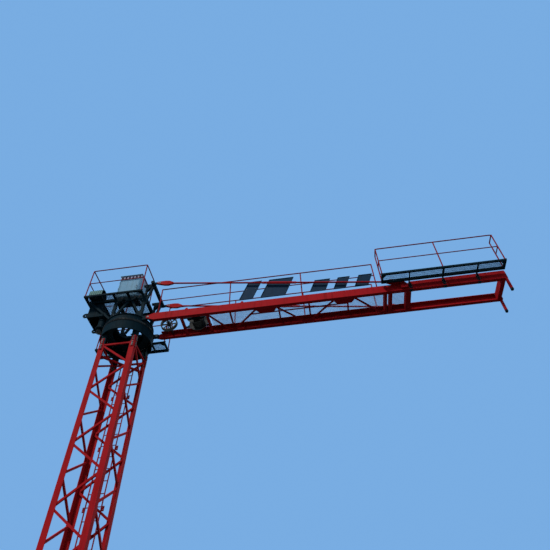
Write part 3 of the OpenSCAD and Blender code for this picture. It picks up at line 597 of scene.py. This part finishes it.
class CRANE_PG_stage(bpy.types.PropertyGroup):
    sun: FloatProperty(
        name="Sun", description="Strength of the soft sun lamp", min=0, max=10, default=3.0)
    sky: FloatProperty(
        name="Sky", description="Strength of the sky's light on the crane", min=0, max=3, default=0.42)
    sky_colour: FloatVectorProperty(
        name="Backdrop", description="Plain pale colour behind the crane",
        subtype="COLOR", size=3, min=0, max=1, default=(0.19, 0.415, 0.76))
    floor_colour: FloatVectorProperty(
        name="Floor", description="Plain pale colour of the floor",
        subtype="COLOR", size=3, min=0, max=1, default=(0.72, 0.72, 0.7))


# One operator for each piece or group of like pieces

class CRANE_OT_paint_frame(bpy.types.Operator):
    """Gives every piece of the frame its paint or metal"""
    bl_idname = "crane.paint_frame"
    bl_label = "Paint the frame"

    def execute(self, context):
        for name, node in NODES.items():
            finish = finish_of(SLOT_OF_NODE[name])
            if not node.material_slots:
                node.data.materials.append(finish)
            for slot in node.material_slots:
                slot.material = finish
        return {"FINISHED"}


class CRANE_OT_fit_foot(bpy.types.Operator):
    """Anchor nuts and gussets on the base plates"""
    bl_idname = "crane.fit_foot"
    bl_label = "Fit the foot"

    def execute(self, context):
        middle, reach = MAST_HALF - LEG_WIDTH / 2, ANCHOR_PITCH / 2
        anchors = [spot((middle + way_x * reach, middle + way_y * reach, BASE_TOP))
                   for way_x in SIDES for way_y in SIDES]
        nuts = copies(stud_bolt(0.03, 0.05), quarter_turns(anchors))
        settle(smooth(nuts), "anchor_nuts", "pin_steel", "tower")
        thick = 0.012
        gusset = plate([(0, 0), (0.13, 0), (0.13, 0.03), (0.02, 0.22), (0, 0.22)], thick)
        seats = []
        for line in (MAST_HALF - 0.12, MAST_HALF - 0.03):
            seats += [on_plane((MAST_HALF, line, BASE_TOP), ALONG, UP),
                      on_plane((line - thick, MAST_HALF, BASE_TOP), ACROSS, UP)]
        settle(copies(gusset, quarter_turns(seats)), "foot_gussets", "red_paint", "tower")
        return {"FINISHED"}


class CRANE_OT_bolt_mast(bpy.types.Operator):
    """Bolts through the fishplates at each section joint"""
    bl_idname = "crane.bolt_mast"
    bl_label = "Bolt the mast sections"

    def execute(self, context):
        size = context.scene.crane_fittings.mast_bolt
        cover, line = high("fishplates").x, LEG_INNER - 0.045
        outer, inner = [], []
        for joint in SECTION_JOINTS:
            for rise in (-0.15, -0.095, -0.04, 0.04, 0.095, 0.15):
                level = joint + rise
                outer += [spot((cover, line, level), ALONG), spot((line, cover, level), ACROSS)]
                if level < MAST_TOP:
                    inner += [spot((LEG_INNER, line, level), -ALONG), spot((line, LEG_INNER, level), -ACROSS)]
        fasten("mast_bolts", hex_bolt(size), quarter_turns(outer), "tower")
        fasten("mast_nuts", stud_bolt(size, 0.014), quarter_turns(inner), "tower")
        return {"FINISHED"}


class CRANE_OT_fit_ladder(bpy.types.Operator):
    """Brackets that hold the ladder to the lacing"""
    bl_idname = "crane.fit_ladder"
    bl_label = "Fit the ladder"

    def execute(self, context):
        foot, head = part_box("ladder")
        thick = 0.012
        clip = block((0.05, thick, 0.12))
        bolt = hex_bolt(context.scene.crane_fittings.small_bolt)
        clips, bolts = [], []
        level = foot.z + 0.3
        while level < head.z - 0.2:
            for side in SIDES:
                x = side * (head.x + 0.03)
                clips.append(at(x, head.y - thick / 2, level))
                bolts += [spot((x + side * 0.008, head.y - thick, level + rise), -ACROSS)
                          for rise in (-0.035, 0.035)]
            level += BAY
        settle(copies(clip, clips), "ladder_clips", "red_paint", "tower")
        fasten("ladder_clip_bolts", bolt, bolts, "tower")
        return {"FINISHED"}


class CRANE_OT_fit_slewing_ring(bpy.types.Operator):
    """Bolts and ribs of the fixed drum and the two races"""
    bl_idname = "crane.fit_slewing_ring"
    bl_label = "Fit the slewing ring"

    def execute(self, context):
        count = context.scene.crane_fittings.ring_bolts
        nut_circle, bolt_circle, drum_wall, rib_count = 0.655, 0.6775, 0.704, 16
        nuts = around(count, nut_circle, (0, 0, DRUM_LIP), DOWN)
        fasten("ring_nuts", stud_bolt(0.022, 0.016), nuts, "tower")
        race_top = low("slewing_drive").z - 0.024
        fasten("race_bolts", hex_bolt(0.011), around(count, bolt_circle, (0, 0, race_top)))
        rib = plate([(0, 0), (0.09, 0), (0.09, 0.02), (0.03, 0.09), (0, 0.09)], 0.01)
        first = on_plane((drum_wall, 0, DRUM_LIP), -ALONG, DOWN)
        ribs = [turned(360 * (number + 0.5) / rib_count, "Z") @ first for number in range(rib_count)]
        settle(copies(rib, ribs), "drum_ribs", "dark_paint", "tower")
        corner = plate([(0, 0), (0.2, 0), (0.2, 0.02), (0.03, 0.2), (0, 0.2)], 0.012)
        line, level = LEG_INNER - LEG_WIDTH / 2, RING_FOOT - 0.31
        webs = [on_plane((LEG_INNER, line, level), -ALONG, DOWN),
                on_plane((line, LEG_INNER, level), -ACROSS, DOWN)]
        settle(copies(corner, quarter_turns(webs)), "support_webs", "dark_paint", "tower")
        return {"FINISHED"}


class CRANE_OT_fit_turret(bpy.types.Operator):
    """Gussets and bolts on the turret's side frames"""
    bl_idname = "crane.fit_turret"
    bl_label = "Fit the turret"

    def execute(self, context):
        face = high("turret_side_far").y
        left, right, foot, head = -0.43, 0.44, TURRET_FRAME + 0.03, TURRET_TOP - 0.03
        corner = [(-0.03, -0.03), (0.24, -0.03), (0.24, 0.03), (0.07, 0.24), (-0.03, 0.24)]
        middle = [(-0.2, -0.03), (0.2, -0.03), (0.2, 0.03), (0.1, 0.15), (-0.1, 0.15), (-0.2, 0.03)]
        seats = [(outline, [(0.7 * a, 0.7 * b) for a, b in outline[1:4]], origin, ways)
                 for outline, origin, ways in (
                     (corner, (left, foot), (1, 1)), (corner, (right, foot), (-1, 1)),
                     (middle, (0, head), (1, -1)), (corner, (left, head), (1, -1)),
                     (corner, (right, head), (-1, -1)))]
        plates, bolts = gussets(seats, [(side * face, side) for side in SIDES], 0.01)
        settle(plates, "turret_gussets", "dark_paint")
        fasten("turret_bolts", hex_bolt(context.scene.crane_fittings.small_bolt), bolts)
        return {"FINISHED"}


def fork_cheeks(shift=0.0):
    """Points on the cheeks of the pendants' forks, and the way that each one faces."""
    return [((x + toward * shift, way * PENDANT_LINE + out * FORK_HALF, z), ACROSS * out)
            for x, z, toward in PENDANT_PINS for way in SIDES for out in SIDES]


class CRANE_OT_fit_pendant_head(bpy.types.Operator):
    """Gussets, end plates and bolts of the pendant head"""
    bl_idname = "crane.fit_pendant_head"
    bl_label = "Fit the pendant head"

    def execute(self, context):
        head = high("pendant_head")
        tube_x, tube_z, tube_w, thick = 0.64, head.z - 0.045, 0.104, 0.008
        post_x, post_y, post_half, cheek = 0.44, 0.4, 0.03, 0.032
        wedge = [(0, 0), (0.13, 0), (0.13, 0.02), (0.02, 0.13), (0, 0.13)]
        web = [(0, 0), (0.2, 0), (0.2, 0.06), (0.07, 0.27), (0, 0.27)]
        holes = [(0.025, 0.1), (0.1, 0.025), (0.03, 0.03)]
        seats = ((web, holes, (post_x - post_half, tube_z + 0.03), (1, -1)),
                 (wedge, holes, (post_x + post_half, TURRET_TOP + 0.01), (-1, 1)))
        walls = [(way * post_y + out * cheek, out) for way in SIDES for out in SIDES]
        plates, bolts = gussets(seats, walls, thick)
        settle(plates, "head_gussets", "dark_paint")
        fasten("head_bolts", hex_bolt(0.01), bolts)
        end = block((tube_w, thick, tube_w), edge=0.003)
        ends = [at(tube_x, way * (head.y + thick / 2), tube_z) for way in SIDES]
        settle(copies(end, ends), "head_end_plates", "dark_paint")
        bosses = copies(collar(0.0205, 0.036, 0.008, 0.002, 24), [spot(*cheek) for cheek in fork_cheeks()])
        settle(smooth(bosses), "pendant_bosses", "red_paint")
        return {"FINISHED"}


class CRANE_OT_fit_slewing_drive(bpy.types.Operator):
    """Cooling fins, cowl, terminal box and flange bolts of the slewing drive"""
    bl_idname = "crane.fit_slewing_drive"
    bl_label = "Fit the slewing drive"

    def execute(self, context):
        foot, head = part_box("slewing_drive")
        x, y = (foot.x + head.x) / 2, (foot.y + head.y) / 2
        lowest, pitch, fin_count, bolt_circle = foot.z + 0.31, 0.017, 13, 0.123
        fins = copies(fin(0.076, 0.1), [at(x, y, lowest + pitch * k) for k in range(fin_count)])
        settle(smooth(fins), "drive_fins", "dark_paint")
        cup = [(0.0005, 0.0), (0.07, 0.0), (0.094, 0.012), (0.1, 0.03), (0.1, 0.075), (0.094, 0.08),
               (0.094, 0.036), (0.066, 0.012), (0.0005, 0.01)]
        cowl = lathe(cup, at(x, y, head.z + 0.012) @ turned(180, "X"))
        box = terminal_box((0.13, 0.1, 0.11), (x - 0.02, y - 0.12, foot.z + 0.42), -ACROSS, 0.008)
        settle(smooth(join([cowl, box])), "drive_cowl", "dark_paint")
        fasten("drive_bolts", hex_bolt(0.014), around(10, bolt_circle, (x, y, foot.z + 0.03)))
        return {"FINISHED"}


class CRANE_OT_dress_cabinet(bpy.types.Operator):
    """Doors, hinges, handles, roof, lifting eyes and louvre slats of the control cabinet"""
    bl_idname = "crane.dress_cabinet"
    bl_label = "Dress the cabinet"

    def execute(self, context):
        foot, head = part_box("control_cabinet")
        top, vent = high("cabinet_vent").z, low("cabinet_vent").z
        x, y, width, height = (foot.x + head.x) / 2, (foot.y + head.y) / 2, head.x - foot.x, head.z - foot.z
        faces, leaf, border, eave = ((foot.y, -1), (head.y, 1)), 0.016, 0.018, 0.025
        doors = []
        for face, side in faces:
            door = block((width - 2 * border, leaf, height - 2 * border),
                         (x, face + side * leaf / 2, foot.z + height / 2), 0.004, 2)
            inset(door, ACROSS * side, 0.025)
            doors.append(inset(door, ACROSS * side, 0.004, -0.003))
        settle(smooth(join(doors)), "cabinet_doors", "cabinet_paint")
        roof = block((width + 2 * eave, head.y - foot.y + 2 * eave, 0.022), (x, y, top + 0.011), 0.006, 2)
        settle(smooth(inset(roof, UP, 0.03, 0.012)), "cabinet_roof", "cabinet_paint")
        grip_line, hinge_line, proud = head.x - 0.075, foot.x + 0.01, 0.014
        knuckles = [at(hinge_line, face + side * proud, foot.z + height * part)
                    for face, side in faces for part in (0.15, 0.5, 0.85)]
        hinges = copies(disc(0.008, 0.07, sides=12), knuckles)
        settle(smooth(hinges), "cabinet_hinges", "pin_steel")
        handle = tube([(0, 0, 0), (0, -0.035, 0), (0, -0.035, 0.13), (0, 0, 0.13)], 0.007, 0.015, 8)
        grips = [at(grip_line, face + side * proud, foot.z + height * 0.42) @ facing_side(side)
                 for face, side in faces]
        settle(smooth(copies(handle, grips)), "cabinet_handles", "pin_steel")
        ring, wire_r, corner_gap = 0.026, 0.007, 0.06
        section = [math.tau * k / 8 for k in range(8)]
        eye = lathe([(ring + wire_r * math.cos(angle), wire_r * math.sin(angle)) for angle in section],
                    turned(90, "X"), 20)
        eyes = [at(eye_x, eye_y, top + 0.06) for eye_x in (foot.x + corner_gap, head.x - corner_gap)
                for eye_y in (foot.y + corner_gap, head.y - corner_gap)]
        settle(smooth(copies(eye, eyes)), "cabinet_eyes", "pin_steel")
        slat = block((width * 0.1, 0.016, 0.004), edge=0.001)
        slat.data.transform(turned(35, "X"))
        columns, rows, first_row, row_pitch = 6, 7, 0.034, 0.017
        slats = [at(foot.x + (column + 0.5) * width / columns, face - side * 0.006,
                    vent + first_row + row_pitch * row) @ facing_side(side)
                 for column in range(columns) for face, side in faces for row in range(rows)]
        settle(copies(slat, slats), "vent_slats", "vent_metal")
        return {"FINISHED"}


class CRANE_OT_dress_resistor(bpy.types.Operator):
    """Arched ribs over the resistor box"""
    bl_idname = "crane.dress_resistor"
    bl_label = "Dress the resistor box"

    def execute(self, context):
        foot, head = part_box("resistor_cover")
        thick, count = 0.012, 7
        half, middle = (head.y - foot.y) / 2, (foot.y + head.y) / 2
        reach, spring = half + thick, head.z - half - foot.z
        angles = [math.radians(degrees) for degrees in range(180, -1, -15)]
        arch = [(reach * math.cos(angle), spring + reach * math.sin(angle)) for angle in angles]
        band = plate([(-reach, 0), *arch, (reach, 0)], thick,
                     on_plane((0, middle, foot.z), ACROSS, UP), 0.002)
        pitch = (head.x - foot.x - thick) / (count - 1)
        bands = [at(foot.x + pitch * number, 0, 0) for number in range(count)]
        settle(copies(band, bands), "resistor_ribs", "cover_paint")
        return {"FINISHED"}


def mesh_floor(area, level, pitch, bar):
    """A grating of upright bars and cross wires inside a flat edging."""
    x0, y0, x1, y1 = area
    long, wide, x, y = x1 - x0, y1 - y0, (x0 + x1) / 2, (y0 + y1) / 2
    wire_t, deep = 0.006, 0.024
    bearing = block((bar, wide, deep), (0, y, level + deep / 2), bar * 0.2)
    count = int(long / pitch)
    bars = copies(bearing, [at(x0 + long / count * k, 0, 0) for k in range(count + 1)])
    cross = block((long, wire_t, wire_t), (x, 0, level + deep - wire_t * 0.4), wire_t * 0.3)
    rows = max(3, int(wide / 0.05))
    wires = copies(cross, [at(0, y0 + wide * k / rows, 0) for k in range(1, rows)])
    edging = block((long, bar * 1.4, deep * 1.1), (x, 0, level + deep * 0.55), bar * 0.2)
    return join([bars, wires, copies(edging, [at(0, edge, 0) for edge in (y0, y1)])])


class CRANE_OT_lay_gratings(bpy.types.Operator):
    """Close bearing bars, cross wires and edging of every grating"""
    bl_idname = "crane.lay_gratings"
    bl_label = "Lay the gratings"

    def execute(self, context):
        pitch = context.scene.crane_fittings.mesh_pitch
        bar = context.scene.crane_fittings.mesh_bar
        rim, walk_half = 0.048, RAIL_LINE - 0.024
        walkway = (WALKWAY[0], -walk_half, WALKWAY[1], walk_half)
        for name, area, level, thick, slot in (
                ("deck_mesh", shrunk(DECK, rim), DECK_FLOOR, 1.7 * bar, "dark_paint"),
                ("rear_mesh", shrunk(REAR, rim), REAR_FLOOR, bar, "dark_paint"),
                ("side_mesh", shrunk(SIDE, rim), SIDE_FLOOR, 2 * bar, "dark_paint"),
                ("walkway_mesh", walkway, BEAM_TOP, bar, "grating")):
            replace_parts(settle(mesh_floor(area, level, pitch, thick), name, slot), "gratings")
        return {"FINISHED"}


FOOT_PLATE = 0.008


def guard(posts, floor, top, knee):
    """A railing of bent tube: a top rail, a knee rail and its posts on foot plates."""
    rail = floor + top - RAIL_R
    parts = [tube([(x, y, rail) for x, y in posts], RAIL_R),
             tube([(x, y, floor + knee) for x, y in posts], RAIL_R * 0.85)]
    bore = RAIL_R - 0.001
    weld = [(bore, 0), (RAIL_R + 0.006, 0), (RAIL_R + 0.001, 0.008), (bore, 0.008)]
    for x, y in posts:
        parts += [tube([(x, y, floor), (x, y, rail)], RAIL_R),
                  lathe(weld, at(x, y, floor + FOOT_PLATE), 12),
                  block((0.085, 0.046, FOOT_PLATE), (x, y, floor + FOOT_PLATE / 2))]
    return smooth(join(parts))


class CRANE_OT_fit_rails(bpy.types.Operator):
    """Bent tube railings with bolted feet on the decks and the beams"""
    bl_idname = "crane.fit_rails"
    bl_label = "Fit the railings"

    def execute(self, context):
        inside = 0.025
        x0, y0, x1, y1 = shrunk(DECK, inside)
        deck = [(x1, 0.1), (x1, y0), (x0, y0), (x0, y1), (DECK[0] + 0.896, y1)]
        x0, y0, x1, y1 = shrunk(REAR, inside)
        rear = [(x0, y0), (x0, y1), (x1, y1), (x1, y0)]
        x0, y0, x1, y1 = shrunk(SIDE, inside)
        side = [(x0, y1), (x0, y0), ((x0 + x1) / 2, y0), (x1, y0), (x1, y1)]
        near, far = [[(x, way * RAIL_LINE) for x in BEAM_POSTS] for way in SIDES]
        bolts = []
        for name, posts, floor, top, knee, replaced in (
                ("deck_handrail", deck, DECK_FLOOR, 1.16, 0.56, "deck_railing"),
                ("rear_handrail", rear, REAR_FLOOR, 1.1, 0.56, "rear_railing"),
                ("side_handrail", side, SIDE_FLOOR, 1.1, 0.56, "side_railing"),
                ("near_handrail", near, BEAM_TOP, 1.02, 0.52, "railing_near"),
                ("far_handrail", far, BEAM_TOP, 1.02, 0.52, "railing_far")):
            # The rails take the darkened red that paints shade on them
            rail = settle(guard(posts, floor, top, knee), name, "red_paint", finish="shaded_rail_paint")
            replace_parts(rail, replaced)
            bolts += [spot((x + beside, y, floor + FOOT_PLATE)) for x, y in posts
                      for beside in (-0.032, 0.032)]
        fasten("rail_foot_bolts", hex_bolt(0.008), bolts)
        return {"FINISHED"}


class CRANE_OT_dress_beams(bpy.types.Operator):
    """Stiffeners, lifting lugs, end caps, ledge and tail shoes of the counter-jib's beams"""
    bl_idname = "crane.dress_beams"
    bl_label = "Dress the main beams"

    def execute(self, context):
        deep, tall, waist = 0.084, BEAM_TALL - 2 * FLANGE_T, 0.03
        rib = plate([(0, 0), (deep, 0), (deep, waist), (waist, tall / 2), (deep, tall - waist),
                     (deep, tall), (0, tall)], 0.01)
        ribs = [on_plane((x, way * WEB_INNER, BEAM_FOOT + FLANGE_T), ACROSS * -way, UP)
                for way in SIDES for x in (1.45, 2.65, 3.35, 3.8, 4.7, 5.6, 6.05, 6.75, 7.2)]
        settle(copies(rib, ribs), "beam_ribs", "red_paint")
        lug = plate([(-0.06, 0), (0.06, 0), (0.04, 0.045), (0.024, 0.075), (-0.024, 0.075),
                     (-0.04, 0.045)], 0.016, edge=0.003)
        lugs = [on_plane((x, way * (BEAM_FACE - 0.03) + 0.008, BEAM_TOP), ALONG, UP)
                for x in (1.8, 3.42) for way in SIDES]
        settle(copies(lug, lugs), "lifting_lugs", "red_paint")
        thick, cap_w, ledge_start = 0.012, 0.1, 8.12
        cap = block((thick, cap_w, BEAM_TALL), (BEAM_END + thick / 2, 0, BEAM_FOOT + BEAM_TALL / 2), 0.003)
        caps = [at(0, way * (BEAM_FACE - cap_w / 2), 0) for way in SIDES]
        settle(copies(cap, caps), "beam_ends", "red_paint")
        ledge = block((BEAM_END - ledge_start, thick, SIDE_FLOOR - BEAM_TOP),
                      ((ledge_start + BEAM_END) / 2, thick / 2 - BEAM_FACE, (SIDE_FLOOR + BEAM_TOP) / 2))
        settle(ledge, "beam_ledge", "red_paint")
        shoe = inset(block((0.068, 0.068, 0.07), edge=0.008, segments=2), DOWN, 0.016, 0.012)
        shoes = [at(BEAM_END - 0.03, way * (BEAM_FACE - 0.03), low("tail_posts").z + 0.033) for way in SIDES]
        settle(smooth(copies(shoe, shoes)), "tail_shoes", "dark_paint")
        return {"FINISHED"}


def grooved_sleeve(place):
    """The hoist drum's barrel with its rope grooves."""
    barrel, half, pitch, count = 0.17, 0.144, 0.016, 18
    hub, crown, groove = barrel - 0.004, barrel + 0.008, barrel + 0.002
    turn = ((crown, 0), (crown, 0.2), (groove + 0.0015, 0.38), (groove, 0.6), (groove + 0.0015, 0.82))
    grooves = [(radius, (number + part) * pitch - half) for number in range(count) for radius, part in turn]
    return lathe([(hub, -half), *grooves, (crown, half), (hub, half)], place, 48)


class CRANE_OT_dress_winch(bpy.types.Operator):
    """Fins and terminal box of the winch motor, bearings, and the grooved sleeve on the hoist drum"""
    bl_idname = "crane.dress_winch"
    bl_label = "Dress the winch"

    def execute(self, context):
        foot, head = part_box("winch_motor")
        x, z, radius = (foot.x + head.x) / 2, (foot.z + head.z) / 2, (head.x - foot.x) / 2
        side_on = turned(-90, "X")
        fins = copies(fin(radius - 0.004, radius + 0.016, side_on, 36),
                      [at(x, foot.y + 0.01 + 0.011 * k, z) for k in range(10)])
        bell = disc(radius * 0.9, 0.016, (x, foot.y - 0.007, z), -ACROSS, 32, 0.005)
        settle(smooth(join([fins, bell])), "winch_fins", "dark_paint")
        box = terminal_box((0.07, 0.09, 0.1), (x + radius + 0.03, (foot.y + head.y) / 2, z), ALONG, 0.006)
        settle(smooth(box), "winch_terminal_box", "dark_paint")
        axis = (low("hoist_drum") + high("hoist_drum")) / 2
        bearings = [spot((axis.x, way * 0.205, axis.z), ACROSS * way) for way in SIDES]
        settle(smooth(copies(collar(0.037, 0.058, 0.013, 0.003, 28), bearings)), "winch_bearings",
               "dark_paint")
        sleeve = grooved_sleeve(Matrix.Translation(axis) @ side_on)
        settle(smooth(sleeve), "drum_sleeve", "gear_steel", "hoist")
        flange, bolt_circle = 0.168, 0.22
        bolts = [spot(axis, ACROSS * way) @ place for way in SIDES
                 for place in around(12, bolt_circle, (0, 0, flange))]
        fasten("drum_bolts", hex_bolt(0.01), bolts, "hoist")
        feet = [spot((foot_x, way * 0.195, low("winch_frame").z + 0.06)) for way in SIDES
                for foot_x in (1.625, 1.66, 2.375, 2.405)]
        fasten("winch_foot_bolts", hex_bolt(0.009), feet)
        return {"FINISHED"}


class CRANE_OT_dress_pendants(bpy.types.Operator):
    """Keeper plates and their bolts on the pendants' pins"""
    bl_idname = "crane.dress_pendants"
    bl_label = "Dress the pendants"

    def execute(self, context):
        thick, beside_pin = 0.006, 0.056
        keeper = plate([(-0.018, -0.04), (0.018, -0.04), (0.018, 0.04), (-0.018, 0.04)], thick)
        keepers, bolts = [], []
        for point, facing in fork_cheeks(beside_pin):
            keepers.append(spot(point, facing))
            bolts += [spot(Vector(point) + facing * thick + UP * rise, facing) for rise in (-0.026, 0.026)]
        settle(copies(keeper, keepers), "pin_keepers", "pin_steel")
        fasten("keeper_bolts", hex_bolt(0.009), bolts)
        return {"FINISHED"}


class CRANE_OT_dress_plates(bpy.types.Operator):
    """Rims and clip bolts of the slanted plates on the near railing"""
    bl_idname = "crane.dress_plates"
    bl_label = "Dress the slanted plates"

    def execute(self, context):
        foot = low("name_plates")
        pitch, lean, border, clip_height, clip_inset = BEAM_POSTS[1] - BEAM_POSTS[0], 0.39, 0.022, 0.4, 0.07
        tall, short = 0.72, 0.46
        rims, clips = [], []
        for post, start, width, rise in (
                (1, 0.13, 0.19, tall), (1, 0.425, 0.345, tall), (2, 0.105, 0.215, short),
                (2, 0.425, 0.165, short), (2, 0.71, 0.185, short)):
            left = BEAM_POSTS[post] + start * pitch
            right, slant = left + width * pitch, lean * rise
            outer = [(left, 0), (right, 0), (right + slant, rise), (left + slant, rise)]
            inner = inset_outline(outer, border)
            strips = zip(outer, outer[1:] + outer[:1], inner[1:] + inner[:1], inner)
            rims += [plate(strip, 0.01, on_plane((0, foot.y, foot.z), ALONG, UP), 0.002)
                     for strip in strips]
            drift = lean * clip_height
            clips += [spot((x, foot.y, foot.z + clip_height), -ACROSS)
                      for x in (left + drift + clip_inset, right + drift - clip_inset)]
        settle(join(rims), "plate_rims", "plate_paint")
        fasten("plate_bolts", hex_bolt(0.012), clips)
        return {"FINISHED"}


def inset_outline(corners, width):
    """The outline moved inwards by the width, for a convex outline drawn anticlockwise."""
    lines = []
    for start, end in zip(corners, corners[1:] + corners[:1]):
        way = (Vector(end) - Vector(start)).normalized()
        lines.append((Vector(start) + Vector((-way.y, way.x)) * width, way))
    points = []
    for (p, d), (q, e) in zip(lines[-1:] + lines[:-1], lines):
        t = ((q.x - p.x) * e.y - (q.y - p.y) * e.x) / (d.x * e.y - d.y * e.x)
        points.append(tuple(p + d * t))
    return points


class CRANE_OT_dress_platforms(bpy.types.Operator):
    """Brackets, corner gussets and bolts under the decks and platforms"""
    bl_idname = "crane.dress_platforms"
    bl_label = "Dress the platforms"

    def execute(self, context):
        frame_w, thick = 0.046, 0.012
        corner = plate([(0, 0), (0.1, 0), (0, 0.1)], 0.008)
        places = []
        for area, level in ((DECK, TURRET_TOP), (REAR, low("rear_platform").z), (SIDE, SIDE_FLOOR - 0.06)):
            x0, y0, x1, y1 = shrunk(area, frame_w)
            places += [on_plane((x, y, level + 0.002), ALONG * way_x, ACROSS * way_y)
                       for x, way_x in ((x0, 1), (x1, -1)) for y, way_y in ((y0, 1), (y1, -1))]
        settle(copies(corner, places), "frame_corners", "dark_paint")
        clamp = block((0.09, 0.1, thick), (0, 0.044 - BEAM_FACE, BEAM_FOOT - thick / 2))
        seat = block((0.09, thick, 0.2), (0, -BEAM_FACE - thick / 2, BEAM_FOOT + 0.14))
        seats, bolts = [], []
        for part in (0.227, 0.501, 0.776):
            middle = SIDE[0] + part * (SIDE[2] - SIDE[0]) + 0.012
            seats.append(at(middle, 0, 0))
            for x in (middle - 0.03, middle + 0.03):
                bolts += [spot((x, -BEAM_FACE - thick, BEAM_FOOT + rise), -ACROSS)
                          for rise in (0.065, 0.14, 0.215)]
                bolts.append(spot((x, 0.06 - BEAM_FACE, BEAM_FOOT - thick), DOWN))
        settle(join([copies(clamp, seats), copies(seat, seats)]), "bracket_seats", "dark_paint")
        fasten("bracket_bolts", hex_bolt(0.01), bolts)
        return {"FINISHED"}


# The stage: camera, lamps, sky and floor

CAMERA_PLACE, CAMERA_LENS = (5.448, -10.162, 16.340), 32.29
CAMERA_RIGHT, CAMERA_UP = Vector((0.99016, 0.13727, -0.02700)), Vector((0.12051, -0.73883, 0.66302))
WARM_LIGHT, COOL_LIGHT, SKY_LIGHT = (1.0, 0.95, 0.88), (0.85, 0.92, 1.0), (0.8, 0.9, 1.0)


def seen_directly(tree):
    """1 for the camera and for reflections and glass, 0 for the light that falls on the crane."""
    rays = tree.nodes.new("ShaderNodeLightPath").outputs
    seen = math_node(tree, "MAXIMUM", rays["Is Camera Ray"], rays["Is Glossy Ray"])
    return math_node(tree, "MAXIMUM", seen, rays["Is Transmission Ray"])


class CRANE_OT_build_stage(bpy.types.Operator):
    """Camera, soft lights, plain backdrop and floor"""
    bl_idname = "crane.build_stage"
    bl_label = "Build the stage"

    def execute(self, context):
        context.scene.view_settings.view_transform = "Standard"
        stage = context.scene.crane_stage
        self.add_camera(context.scene)
        self.add_lamps(stage)
        self.add_world(context.scene, stage)
        self.add_floor(stage)
        return {"FINISHED"}

    def add_camera(self, scene):
        pick()
        bpy.ops.object.camera_add(location=CAMERA_PLACE)
        camera = bpy.context.object
        right = CAMERA_RIGHT.normalized()
        up = (CAMERA_UP - right * CAMERA_UP.dot(right)).normalized()
        camera.matrix_world = on_plane(CAMERA_PLACE, right, up)
        camera.data.lens = CAMERA_LENS
        camera.data.sensor_width = 36.0
        camera.data.clip_end = 1000.0
        scene.camera = camera

    def add_lamps(self, stage):
        for way, strength, width, colour in (
                ((-0.34, -0.57, 0.8), stage.sun, 9.0, WARM_LIGHT),
                ((0.9, -0.3, 0.35), stage.sun * 0.18, 40.0, COOL_LIGHT),
                ((0.2, 0.9, 0.35), stage.sun * 0.2, 40.0, COOL_LIGHT)):
            turn = UP.rotation_difference(Vector(way)).to_euler()
            bpy.ops.object.light_add(type="SUN", location=Vector(way) * 40, rotation=turn)
            lamp = bpy.context.object.data
            lamp.energy, lamp.angle, lamp.color = strength, math.radians(width), colour

    def add_world(self, scene, stage):
        world = bpy.data.worlds.new("Pale sky")
        scene.world = world
        world.use_nodes = True
        tree = world.node_tree
        tree.nodes.clear()
        lit = wire(tree, "ShaderNodeBackground", at0=SKY_LIGHT, at1=stage.sky)
        shown = wire(tree, "ShaderNodeBackground", at0=stage.sky_colour, at1=1.0)
        mixed = wire(tree, "ShaderNodeMixShader", at0=seen_directly(tree), at1=lit.outputs[0],
                     at2=shown.outputs[0])
        wire(tree, "ShaderNodeOutputWorld", at0=mixed.outputs[0])

    def add_floor(self, stage):
        pick()
        bpy.ops.mesh.primitive_plane_add(size=600, location=(0, 0, -0.002))
        floor = bpy.context.object
        floor.name = "floor"
        finish, tree, shader, coordinates = start_finish("pale floor")
        pale = list(stage.floor_colour)
        bounce = blend_colour(tree, seen_directly(tree), [part * 0.03 for part in pale], pale)
        grain = times(tree, noise(tree, coordinates, 0.8, 3.0), 0.04)
        tree.links.new(blend_colour(tree, grain, bounce, [0.5, 0.5, 0.5]), shader.inputs["Base Color"])
        shader.inputs["Roughness"].default_value = 0.9
        floor.data.materials.append(finish)


class CRANE_PT_dressing(bpy.types.Panel):
    """Lists the crane's sizes, colours and steps"""
    bl_idname = "CRANE_PT_dressing"
    bl_label = "Tower crane"
    bl_space_type = "VIEW_3D"
    bl_region_type = "UI"
    bl_category = "Crane"

    def draw(self, context):
        for name, group in GROUPS:
            box = self.layout.box()
            for value in group.__annotations__:
                box.prop(getattr(context.scene, name), value)
        for step in STEPS:
            self.layout.operator(step.bl_idname)


GROUPS = (
    ("crane_paint", CRANE_PG_paint),
    ("crane_fittings", CRANE_PG_fittings),
    ("crane_stage", CRANE_PG_stage),
)

STEPS = (
    CRANE_OT_build_stage, CRANE_OT_paint_frame, CRANE_OT_fit_foot, CRANE_OT_bolt_mast,
    CRANE_OT_fit_ladder, CRANE_OT_fit_slewing_ring, CRANE_OT_fit_turret, CRANE_OT_fit_pendant_head,
    CRANE_OT_fit_slewing_drive, CRANE_OT_dress_cabinet, CRANE_OT_dress_resistor,
    CRANE_OT_lay_gratings, CRANE_OT_fit_rails, CRANE_OT_dress_beams, CRANE_OT_dress_winch,
    CRANE_OT_dress_pendants, CRANE_OT_dress_plates, CRANE_OT_dress_platforms,
)


def register():
    for name, group in GROUPS:
        bpy.utils.register_class(group)
        setattr(bpy.types.Scene, name, PointerProperty(type=group))
    for step in STEPS:
        bpy.utils.register_class(step)
    bpy.utils.register_class(CRANE_PT_dressing)


def unregister():
    bpy.utils.unregister_class(CRANE_PT_dressing)
    for step in reversed(STEPS):
        bpy.utils.unregister_class(step)
    for name, group in reversed(GROUPS):
        delattr(bpy.types.Scene, name)
        bpy.utils.unregister_class(group)


def main():
    register()
    for step in STEPS:
        family, action = step.bl_idname.split(".")
        getattr(getattr(bpy.ops, family), action)()


if __name__ == "__main__":
    main()
